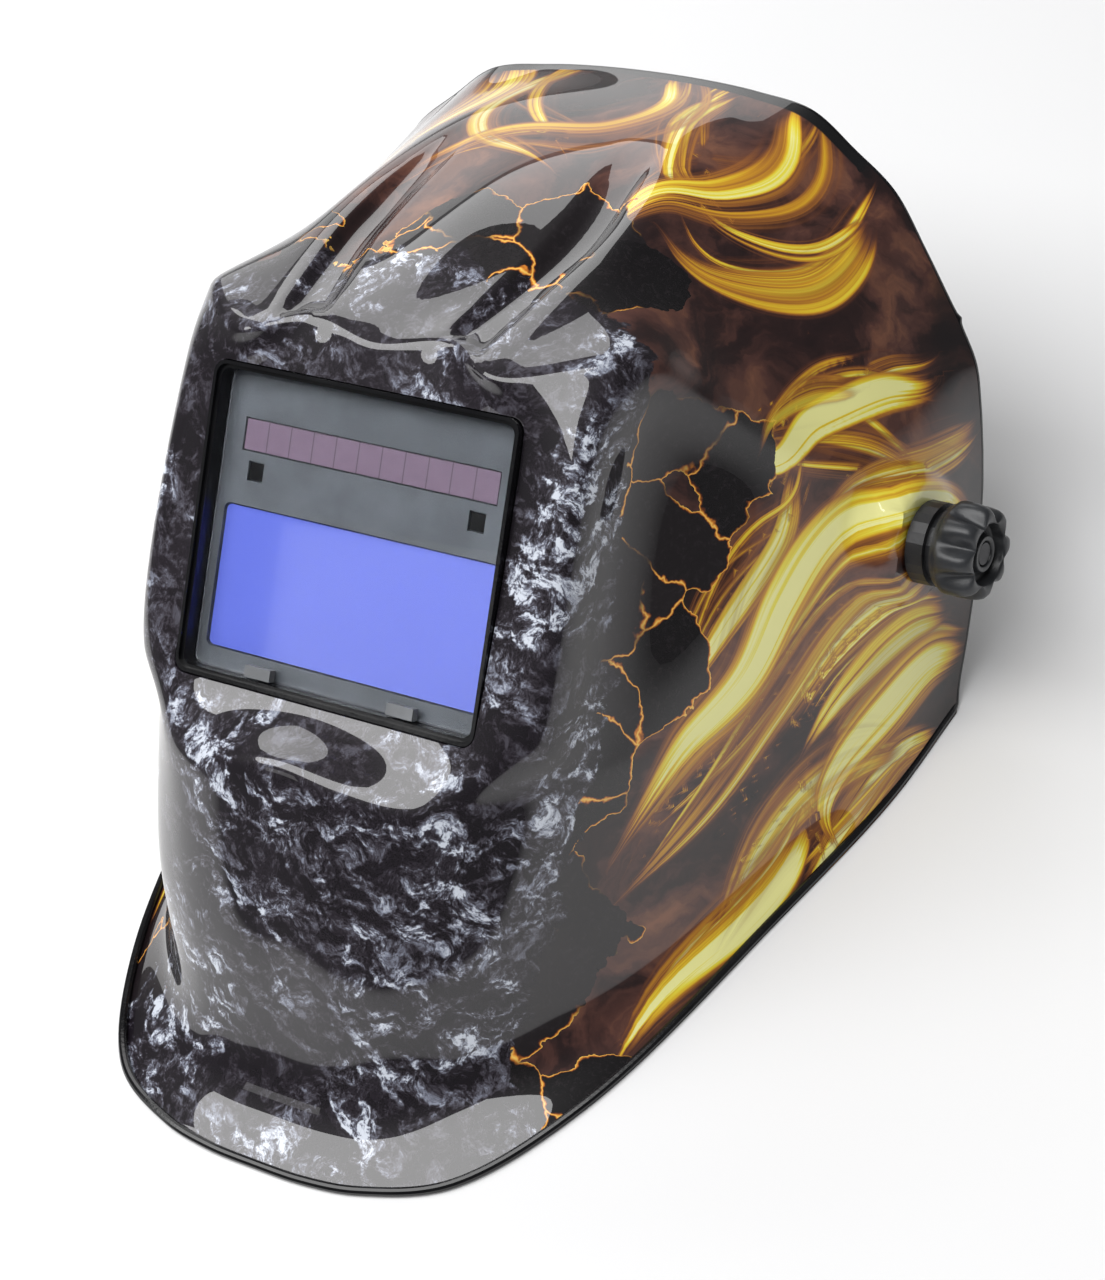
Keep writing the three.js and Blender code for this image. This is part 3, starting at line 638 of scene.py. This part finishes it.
COAL_STOPS = [(0.0, (0.006, 0.004, 0.007)), (0.16, (0.016, 0.012, 0.018)), (0.34, (0.042, 0.037, 0.048)),
              (0.54, (0.092, 0.090, 0.115)), (0.74, (0.24, 0.26, 0.33)), (0.95, (0.66, 0.70, 0.78))]
SEAM_STOPS = [(0.0, (1.0, 0.66, 0.14)), (0.3, (0.80, 0.27, 0.03)), (0.7, (0.20, 0.04, 0.012)),
              (1.0, (0.02, 0.01, 0.01))]
SMOKE_STOPS = [(0.30, (0.006, 0.003, 0.004)), (0.44, (0.024, 0.010, 0.010)),
               (0.56, (0.090, 0.036, 0.028)), (0.72, (0.24, 0.100, 0.055))]
# attribute, seed and gain of each layer of flames, from the back to the front
FLAME_LAYERS = [("flame_5", 1.9, 0.60), ("flame_4", 2.3, 0.62), ("flame_2", 5.7, 0.95),
                ("flame_1", 3.1, 1.05), ("flame_3", 6.9, 0.80), ("flame_0", 8.4, 1.1)]
SLAB_SCALE = 0.040


def artwork():
    """Generic print: broken rock in front, cracked slabs behind it, flames on the sides and crown."""
    s = Shader("shell_artwork", Roughness=0.45, Specular_IOR_Level=0.15,
               Coat_Weight=1.0, Coat_Roughness=0.012, Coat_IOR=1.6)
    where = s.attribute("worn_mm", "Vector")
    swirl = s.vector("SUBTRACT", s.noise(where, 0.07, 4, output=1), (0.5, 0.5, 0.5))
    bent = s.vector("ADD", where, s.vector("SCALE", swirl, scale=16.0))
    worn = s.node("ShaderNodeSeparateXYZ", {0: where}).outputs

    # coal, drawn as if lit from above: bright chipped edges, deep black between
    lit_from = s.vector("ADD", bent, (0.42, -0.65, 1.25))
    relief = s.math("SUBTRACT", coal_height(s, bent), coal_height(s, lit_from))
    patch = s.remap(s.noise(bent, 0.026, 4, 0.60), 0.38, 0.62)
    chip = s.vector("MULTIPLY", bent, (1.0, 1.0, 0.55))
    facet = s.node("ShaderNodeSeparateColor", {0: s.voronoi(chip, 0.085, output="Color")}).outputs[0]
    fleck = s.noise(bent, 1.6, 6, 0.78, 0.4)
    tone = s.remap(relief, -0.14, 0.26)
    tone = s.math("ADD", tone, s.math("MULTIPLY", s.math("SUBTRACT", fleck, 0.5), 1.15))
    tone = s.math("ADD", tone, s.math("MULTIPLY", s.math("SUBTRACT", facet, 0.5), 0.34))
    tone = s.math("MULTIPLY", tone, s.math("ADD", 0.46, s.math("MULTIPLY", patch, 0.58)), clamp=True)
    coal = s.ramp(tone, COAL_STOPS)

    # burnt slabs with glowing seams
    slab_seed = s.node("ShaderNodeTexVoronoi", {"Vector": bent, "Scale": SLAB_SCALE})
    slab = s.node("ShaderNodeSeparateXYZ", {0: slab_seed.outputs["Position"]}).outputs
    slab_tone = s.node("ShaderNodeSeparateColor", {0: slab_seed.outputs["Color"]}).outputs[1]
    char = s.mix(slab_tone, (0.003, 0.002, 0.003), (0.013, 0.009, 0.011))
    char = s.mix(s.remap(s.noise(bent, 0.5, 8, 0.75), 0.48, 0.80), char, (0.026, 0.020, 0.024))
    seam = s.voronoi(bent, SLAB_SCALE, "DISTANCE_TO_EDGE")
    seam_width = s.math("ADD", 0.006, s.math("MULTIPLY", s.noise(where, 0.06, 3), 0.055))
    glow = s.math("DIVIDE", seam, seam_width)
    lit = s.remap(s.noise(where, 0.026, 3), 0.42, 0.52)
    slabs = s.mix(s.math("MULTIPLY", s.remap(glow, 1.0, 0.2), lit), char, s.ramp(glow, SEAM_STOPS))

    # smoky ground behind the flames
    smoke = s.noise(s.vector("MULTIPLY", bent, (1.0, 0.6, 1.0)), 0.035, 5, 0.55, 1.2)
    base = s.ramp(smoke, SMOKE_STOPS)
    rear = s.remap(s.attribute("column"), 5.9, 6.5)
    base = s.mix(rear, base, s.mix(0.75, base, (0.008, 0.006, 0.007)))
    for name, seed, gain in FLAME_LAYERS:
        colour, cover = flame_layer(s, name, seed, gain)
        base = s.mix(cover, base, colour)

    # slabs break off towards the back one whole piece at a time
    def zone(y, z):
        line = s.math("ADD", 31.0, s.math("MULTIPLY", z, 0.25))
        return s.math("DIVIDE", s.math("SUBTRACT", y, line), 30.0)

    whole = s.math("ADD", zone(slab[1], slab[2]),
                   s.math("MULTIPLY", s.math("SUBTRACT", slab_tone, 0.5), 0.9))
    ragged = s.math("ADD", whole,
                    s.math("MULTIPLY", s.math("SUBTRACT", s.noise(where, 0.35, 4), 0.5), 0.10))
    base = s.mix(s.remap(ragged, 0.30, 0.27), base, slabs)
    front = s.math("ADD", zone(worn[1], worn[2]),
                   s.math("MULTIPLY", s.math("SUBTRACT", s.noise(bent, 0.075, 6, 0.62), 0.5), 0.9))
    base = s.mix(s.remap(front, -0.36, -0.40), base, coal)
    colour, cover = flame_layer(s, "flame_1", 12.9, 0.55)
    base = s.mix(s.math("MULTIPLY", cover, s.remap(front, -0.5, 0.3, 0.0, 0.6)), base, colour)
    trim = s.math("MULTIPLY", s.remap(s.attribute("row"), 0.10, 0.085),
                  s.remap(s.attribute("column"), 4.6, 4.2))
    toned = s.mix(1.0, base, (0.96, 0.96, 0.96), blend="MULTIPLY")
    s.colour(s.mix(trim, toned, (0.004, 0.004, 0.005)))
    return s.material


ARTWORK = artwork()


WINDOW_CUT = (53.5, -39.4, 50.6, 4)  # half width, low edge, high edge, corner radius
BORE_RADIUS = 4
BORE_X, BORE_REACH = 115, 12


def build_shell():
    """The painted shell, closed along its edge, with its window and the two stud bores."""
    inner = GRID - GRID_NORMAL * SHELL_T
    wide, tall = GRID.shape[:2]
    layer = wide * tall
    vertices = to_row(np.vstack([GRID.reshape(-1, 3), inner.reshape(-1, 3)]))
    vertices[:, 2] = np.maximum(vertices[:, 2], 0.0)
    faces = grid_faces(wide, tall, 0, False) + grid_faces(wide, tall, layer, True)
    outer_count = len(faces) // 2
    for u in range(wide - 1):
        top, bottom = u * tall, u * tall + tall - 1
        faces.append((top, top + tall, top + tall + layer, top + layer))
        faces.append((bottom, bottom + layer, bottom + tall + layer, bottom + tall))
    far = (wide - 1) * tall
    for v in range(tall - 1):
        faces.append((v, v + layer, v + 1 + layer, v + 1))
        faces.append((far + v, far + v + 1, far + v + 1 + layer, far + v + layer))
    shell = new_object("painted_shell", vertices, faces, [ARTWORK, INSIDE_PLASTIC])
    for polygon in shell.data.polygons:
        polygon.material_index = 0 if polygon.index < outer_count else 1
    window = prism("window_cutter", rounded_outline(*WINDOW_CUT), -14, 30, LENS)
    across = TILT_AXIS @ Matrix.Rotation(math.pi / 2, 4, "Y")
    for side in (1, -1):
        middle = side * BORE_X
        bore = prism("bore_cutter", circle(BORE_RADIUS), middle - BORE_REACH, middle + BORE_REACH, across)
        cut_with(shell, bore)
    cut_with(shell, window)
    shade(shell, 40)
    paint_fields(shell)
    return shell


shell = build_shell()
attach(shell, "shell")
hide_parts("helmet_shell")

# rounded bead along the whole edge, resting on the floor where the rim does
BEAD_RADIUS = 0.00135
middle = GRID - GRID_NORMAL * SHELL_T / 2
loop = np.vstack([middle[:, -1], middle[-1, -2:0:-1], middle[::-1, 0], middle[0, 1:-1]])
loop = to_row(loop)
loop[:, 2] = np.maximum(loop[:, 2], BEAD_RADIUS)
bead = tube("edge_bead", loop, BEAD_RADIUS, [TRIM_PLASTIC])
shade(bead)
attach(bead, "shell")


# -------------------------------------------------------- bosses and knobs
def on_tilt_axis(side, x=0.0):
    """Frame with z outwards along the tilt axis, x millimetres from the middle."""
    outwards = TILT_AXIS @ Matrix.Rotation(side * math.pi / 2, 4, "Y")
    return outwards @ Matrix.Translation((0, 0, x * MM))


KNOB_FACE_X = 127.4
RATCHET_KNOB_Y = 101.4
BOSS_PROFILE = [(4.0, 108.6, 0), (11.4, 108.6, 0), (12.0, 109.2, 0), (12.0, 113.6, 0), (12.8, 115.4, 0),
                (15.0, 116.9, 0), (15.0, 117.8, 0), (4.0, 117.8, 0)]
KNOB_PROFILE = [(3.7, 0, 0), (11.4, 0, 0), (12.2, 0.4, 0), (12.4, 1.4, 0.1), (12.9, 2.0, 0.4),
                (13.7, 2.8, 1.0), (14.0, 4.2, 1.8), (14.0, 6.5, 2.6), (13.9, 8.6, 3.2), (13.6, 10.4, 3.5),
                (13.0, 11.8, 3.4), (12.1, 12.7, 2.9), (11.2, 13.0, 2.2), (10.2, 13.0, 1.2), (9.3, 12.8, 0.4),
                (8.8, 12.2, 0), (8.6, 9.3, 0), (8.2, 8.8, 0), (5.9, 8.7, 0), (5.5, 9.0, 0),
                (5.3, 11.2, 0), (5.0, 11.6, 0), (4.0, 11.6, 0), (3.7, 11.3, 0)]
RATCHET_KNOB_PROFILE = [(0.6, 0, 0), (13.9, 0, 0), (14.8, 0.5, 0.5), (15.0, 1.5, 1.2), (15.0, 6.4, 1.9),
                        (14.5, 7.8, 1.9), (13.4, 8.8, 1.5), (12.6, 9.9, 0.9), (11.6, 10.4, 0.3),
                        (7.2, 10.4, 0), (6.4, 10.0, 0), (6.0, 9.2, 0), (0.6, 9.0, 0)]

for hand, side in (("left", 1), ("right", -1)):
    boss = lathe(f"boss_ring_{hand}", BOSS_PROFILE, on_tilt_axis(side), [INSIDE_PLASTIC], segments=64)
    shade(boss)
    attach(boss, "shell")
    knob = lathe(f"fluted_knob_{hand}", KNOB_PROFILE, on_tilt_axis(side, KNOB_FACE_X),
                 [KNOB_PLASTIC], lobes=8, segments=128)
    shade(knob, 50)
    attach(knob, f"tilt_knob_{hand}_body")
    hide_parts(f"tilt_knob_{hand}")

knob_place = HEAD @ Matrix.Translation((0, RATCHET_KNOB_Y * MM, 0)) @ rotation_x(-math.pi / 2)
ratchet_grip = lathe("ratchet_grip", RATCHET_KNOB_PROFILE, knob_place, [KNOB_PLASTIC],
                     lobes=12, segments=144)
shade(ratchet_grip, 50)
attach(ratchet_grip, "ratchet")
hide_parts("ratchet_knob")


# ------------------------------------------------------ head band and ratchet
BACKWARD = HEAD @ rotation_x(-math.pi / 2)
SIDEWAYS = HEAD @ Matrix.Rotation(math.pi / 2, 4, "Y")
BAND_HALF = (86.4, 71.4)        # half width and reach forward of the tilt axis
BAND_HALF_H = 12
BAND_T = 1.6
BAND_SIDE = [(50, 94), (63, 90.5), (75, 79), (83, 58), (86, 34), (86.4, 12)]
RACK_SLOT = (94.2, 96.8)
RACK_SLOT_H = 9.9
SLEEVE_X, SLEEVE_HALF_W, SLEEVE_HALF_H = 51, 11, 11.5
SLEEVE_DEPTH = (92.6, 98.4)
CASE_DEPTH = (92, 100.4)
# place behind the tilt axis and radius: stud, rivet, then the adjusting holes
BAND_HOLES = [(0, 3.6), (28, 2.9)] + [(y, 1.5) for y in (46, 54, 62, 70)]
HOLE_REACH = (66, 95)
GROOVES = (17.6, 20.2, 22.8)


def rack_slot(half_width):
    outline = [(-half_width, -RACK_SLOT_H), (half_width, -RACK_SLOT_H),
               (half_width, RACK_SLOT_H), (-half_width, RACK_SLOT_H)]
    return prism("slot_cutter", outline, *RACK_SLOT, BACKWARD)


def moulded_headband():
    """The band with rounded edges, adjusting holes and the two sleeves for the racks."""
    flank = smooth_through(np.array([(x, y, 0.0) for x, y in BAND_SIDE]), 6)[:, :2]
    turns = np.radians(np.linspace(0, 180, 61))
    front = np.stack([BAND_HALF[0] * np.cos(turns), -BAND_HALF[1] * np.sin(turns)], 1)
    path = np.vstack([flank, front, flank[::-1] * [-1, 1]])
    along = np.gradient(path, axis=0)
    along /= np.linalg.norm(along, axis=1, keepdims=True)
    outward = np.stack([-along[:, 1], along[:, 0]], 1)
    outward *= np.sign((outward * path).sum(axis=1, keepdims=True))
    section = rounded_outline(BAND_T / 2, -BAND_HALF_H, BAND_HALF_H, 0.72, 3)
    count = len(section)
    vertices = []
    for point, normal in zip(path, outward):
        for a, z in section:
            x, y = point + normal * (BAND_T / 2 + a)
            vertices.append(HEAD @ Vector((x * MM, y * MM, z * MM)))
    faces = [tuple(range(count))[::-1], tuple(range((len(path) - 1) * count, len(path) * count))]
    for i in range(len(path) - 1):
        faces += [(i * count + k, i * count + (k + 1) % count,
                   (i + 1) * count + (k + 1) % count, (i + 1) * count + k) for k in range(count)]
    band = new_object("moulded_headband", vertices, faces, [BLACK_PLASTIC])
    for side in (1, -1):
        corners = rounded_outline(SLEEVE_HALF_W, -SLEEVE_HALF_H, SLEEVE_HALF_H, 4)
        outline = [(x + side * SLEEVE_X, y) for x, y in corners]
        sleeve = prism("sleeve", outline, *SLEEVE_DEPTH, BACKWARD)
        soften(sleeve, 1.3)
        cut_with(band, sleeve, "UNION")
    cut_with(band, rack_slot(61))
    for side in (1, -1):
        low, high = sorted(side * x for x in HOLE_REACH)
        for y, radius in BAND_HOLES:
            cut_with(band, prism("hole_cutter", circle(radius, 0, y), low, high, SIDEWAYS))
    shade(band, 40)
    return band


def ratchet_case():
    """Rounded case of the ratchet with finger grooves either side of the knob."""
    case = prism("ratchet_case", rounded_outline(27, -15, 15, 7), *CASE_DEPTH, BACKWARD, [BLACK_PLASTIC])
    soften(case, 1.6, 4)
    cut_with(case, rack_slot(40))
    cut_with(case, prism("bore_cutter", circle(3.4), 90, 110, BACKWARD))
    for side in (1, -1):
        for x in GROOVES:
            outline = [(side * x + a, b) for a, b in rounded_outline(0.55, -8, 8, 0.5, 4)]
            cut_with(case, prism("groove_cutter", outline, 99.7, 102, BACKWARD))
    shade(case, 40)
    return case


band = moulded_headband()
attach(band, "headgear")
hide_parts("headband")
case = ratchet_case()
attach(case, "headgear")
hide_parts("ratchet_housing")

# ------------------------------------------------------- finishes on CAD nodes
FINISH = {
    "lens_bezel": TRIM_PLASTIC, "filter_front_case": FASCIA_PLASTIC, "filter_rear_case": BLACK_PLASTIC,
    "cartridge_retainer": BLACK_PLASTIC, "battery_drawer": KNOB_PLASTIC, "battery_cell": STEEL,
    "ratchet_pinion": STEEL, "crown_pin": GREY_PLASTIC, "test_button": GREY_PLASTIC,
}
for dial in ("shade_dial", "sensitivity_dial", "delay_dial"):
    FINISH[dial] = GREY_PLASTIC
for hand in ("left", "right"):
    FINISH.update({
        f"cover_snap_tab_{hand}": GREY_PLASTIC, f"arc_sensor_{hand}": TRIM_PLASTIC,
        f"retainer_latch_{hand}": GREY_PLASTIC, f"spacer_ring_{hand}": BLACK_PLASTIC,
        f"pivot_stud_{hand}": DARK_THREAD,
        f"friction_washer_{hand}": GREY_PLASTIC, f"tilt_stop_plate_{hand}": BLACK_PLASTIC,
        f"pivot_sleeve_{hand}": BLACK_PLASTIC, f"side_arm_{hand}": KNOB_PLASTIC,
        f"strap_rack_{hand}": GREY_PLASTIC, f"crown_strap_{hand}": BLACK_PLASTIC,
        f"strap_rivet_{hand}": STEEL,
    })


def clear_lens():
    return Shader("clear_polycarbonate", Base_Color=(0.97, 0.99, 1.0, 1.0), Roughness=0.02, IOR=1.2,
                  Transmission_Weight=1.0).material


def filter_blue():
    s = Shader("blue_filter", Roughness=0.06, Specular_IOR_Level=0.8)
    where = s.place()
    s.colour(s.mix(s.noise(where, 18, 2), (0.150, 0.194, 0.80), (0.178, 0.228, 0.86)))
    return s.material


def shutter_glass():
    s = Shader("shutter_glass", Roughness=0.05, Specular_IOR_Level=0.7)
    s.colour(s.mix(s.noise(s.place(), 30, 3), (0.010, 0.016, 0.035), (0.016, 0.026, 0.05)))
    return s.material


CELL_PITCH = 0.0081


def solar_film():
    """Mauve cells with thin darker joints."""
    s = Shader("solar_film", Roughness=0.28)
    where = s.place()
    x = s.node("ShaderNodeSeparateXYZ", {0: where}).outputs[0]
    cell = s.math("FRACT", s.math("ADD", s.math("MULTIPLY", x, 1 / CELL_PITCH), 0.5))
    joint = s.remap(s.math("ABSOLUTE", s.math("SUBTRACT", cell, 0.5)), 0.47, 0.49)
    tone = s.mix(s.noise(where, 240, 4), (0.210, 0.145, 0.205), (0.280, 0.200, 0.280))
    s.colour(s.mix(s.math("MULTIPLY", joint, 0.65), tone, (0.045, 0.03, 0.045)))
    return s.material


CLEAR = clear_lens()
FINISH.update({"front_cover_lens": CLEAR, "inner_cover_lens": CLEAR, "filter_glass": filter_blue(),
               "light_shutter": shutter_glass(), "solar_strip": solar_film()})


def fabric(name, dark, light):
    s = Shader(name, Roughness=0.95, Sheen_Weight=0.35, Sheen_Roughness=0.5)
    where = s.place()
    thread = {"Vector": where, "Scale": 420.0, "Distortion": 0.6}
    warp = s.node("ShaderNodeTexWave", thread, bands_direction="X")
    weft = s.node("ShaderNodeTexWave", thread, bands_direction="Z")
    weave = s.math("MAXIMUM", warp.outputs["Fac"], weft.outputs["Fac"])
    s.colour(s.mix(weave, dark, light))
    s.bump(weave, 0.6, 0.0003)
    return s.material


PAD = fabric("pad_fabric", (0.012, 0.012, 0.014), (0.045, 0.045, 0.052))


PAD_VOXEL = 0.003
PAD_SHRINK = 0.0011             # taken off first, so that the swelling has room
PAD_RISE = 0.0022
PAD_PRESSURE = 4
SWELL_FRAMES = 20


def inflated_pad(node, body, name):
    """The CAD pad as stitched foam: swollen by a cloth simulation, with its rise capped."""
    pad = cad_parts[node].copy()
    pad.data = pad.data.copy()
    pad.name = name
    pad.parent = None
    pad.matrix_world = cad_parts[node].matrix_world
    scene.collection.objects.link(pad)
    remesh = pad.modifiers.new("remesh", "REMESH")
    remesh.mode = "VOXEL"
    remesh.voxel_size = PAD_VOXEL
    apply_modifiers(pad)
    mesh = pad.data
    for vertex, normal in zip(mesh.vertices, [v.normal.copy() for v in mesh.vertices]):
        vertex.co -= normal * PAD_SHRINK
    start = np.array([v.co for v in mesh.vertices])
    cloth = pad.modifiers.new("swell", "CLOTH")
    cloth.settings.use_pressure = True
    cloth.settings.uniform_pressure_force = PAD_PRESSURE
    cloth.settings.effector_weights.gravity = 0
    cloth.point_cache.frame_start, cloth.point_cache.frame_end = 1, SWELL_FRAMES
    for number in range(1, SWELL_FRAMES + 1):
        scene.frame_set(number)
    apply_modifiers(pad)
    scene.frame_set(1)
    mesh = pad.data
    moved = np.array([v.co for v in mesh.vertices]) - start
    size = np.linalg.norm(moved, axis=1, keepdims=True)
    moved *= np.minimum(1, PAD_RISE / np.maximum(size, 1e-9))
    for vertex, place in zip(mesh.vertices, start + moved):
        vertex.co = place
    pad.modifiers.new("smooth", "SUBSURF").levels = 1
    apply_modifiers(pad)
    pad.data.materials.clear()
    pad.data.materials.append(PAD)
    shade(pad, 70)
    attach(pad, body)
    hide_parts(node)


inflated_pad("brow_sweatband", "headgear", "padded_sweatband")
inflated_pad("nape_pad", "headgear", "padded_nape")

EDGE_ROUND = 0.0004
for node, material in FINISH.items():
    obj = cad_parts[node]
    obj.data.materials.clear()
    obj.data.materials.append(material)
    if material is not CLEAR:
        bevel = obj.modifiers.new("edge_round", "BEVEL")
        bevel.width = EDGE_ROUND
        bevel.segments = 2
        bevel.limit_method = "ANGLE"
        bevel.angle_limit = math.radians(40)
        bevel.harden_normals = True

# -------------------------------------------------------------------- studio
WHITE = (1, 1, 1, 1)
FLOOR_HALF = 3


def floor_paint():
    s = Shader("studio_floor", Roughness=0.9, Emission_Color=WHITE, Emission_Strength=0.10)
    s.colour(s.mix(s.noise(s.place(), 3, 2), (0.70, 0.70, 0.705), (0.73, 0.73, 0.735)))
    return s.material


floor_corners = [(x * FLOOR_HALF, y * FLOOR_HALF, 0) for x, y in ((-1, -1), (1, -1), (1, 1), (-1, 1))]
floor = new_object("studio_floor", floor_corners, [(0, 1, 2, 3)], [floor_paint()])

world = bpy.data.worlds.new("studio")
world.use_nodes = True
background = world.node_tree.nodes["Background"]
background.inputs["Color"].default_value = WHITE
background.inputs["Strength"].default_value = 0.10
scene.world = world


def softbox(name, where, target, size, radiance, roll=0.0):
    """A rectangular light of even brightness facing the target."""
    light = bpy.data.lights.new(name, "AREA")
    light.shape = "RECTANGLE"
    light.size, light.size_y = size
    light.energy = radiance * math.pi * size[0] * size[1]
    obj = bpy.data.objects.new(name, light)
    aim = (Vector(target) - Vector(where)).to_track_quat("-Z", "Y").to_matrix().to_4x4()
    obj.matrix_world = Matrix.Translation(where) @ aim @ Matrix.Rotation(math.radians(roll), 4, "Z")
    scene.collection.objects.link(obj)


softbox("softbox_over", (-0.40, -0.45, 1.42), (-0.40, -0.45, 0), (2.2, 1.05), 5.2)
softbox("softbox_behind", (-0.62, 0.78, 0.86), (0, 0, 0.1), (0.85, 0.50), 2.9)
softbox("card_behind", (-0.72, 0.96, 0.36), (0, 0, 0.1), (0.85, 0.50), 1.1)
softbox("card_front", (-0.685, -0.86, 0.665), (0, -0.04, 0.115), (0.17, 0.15), 1.0, 28)

# -------------------------------------------------------------------- camera
CAMERA_AZIMUTH = math.radians(35.75)
CAMERA_ELEVATION = math.radians(20.13)
CAMERA_PLACE = (562.7, -686.6, 303.7)  # in the worn frame
FOCAL_LENGTH = 95.3
SENSOR_WIDTH = 36

toward = Vector((math.sin(CAMERA_AZIMUTH) * math.cos(CAMERA_ELEVATION),
                 -math.cos(CAMERA_AZIMUTH) * math.cos(CAMERA_ELEVATION), math.sin(CAMERA_ELEVATION)))
right = Vector((math.cos(CAMERA_AZIMUTH), math.sin(CAMERA_AZIMUTH), 0))
aim = Matrix((right, toward.cross(right), toward)).transposed().to_4x4()
camera_data = bpy.data.cameras.new("camera")
camera_data.lens = FOCAL_LENGTH
camera_data.sensor_width = SENSOR_WIDTH
camera_data.clip_end = 20
camera = bpy.data.objects.new("camera", camera_data)
camera.matrix_world = WORN @ Matrix.Translation(Vector(CAMERA_PLACE) * MM) @ aim
scene.collection.objects.link(camera)
scene.camera = camera
scene.view_settings.view_transform = "Standard"
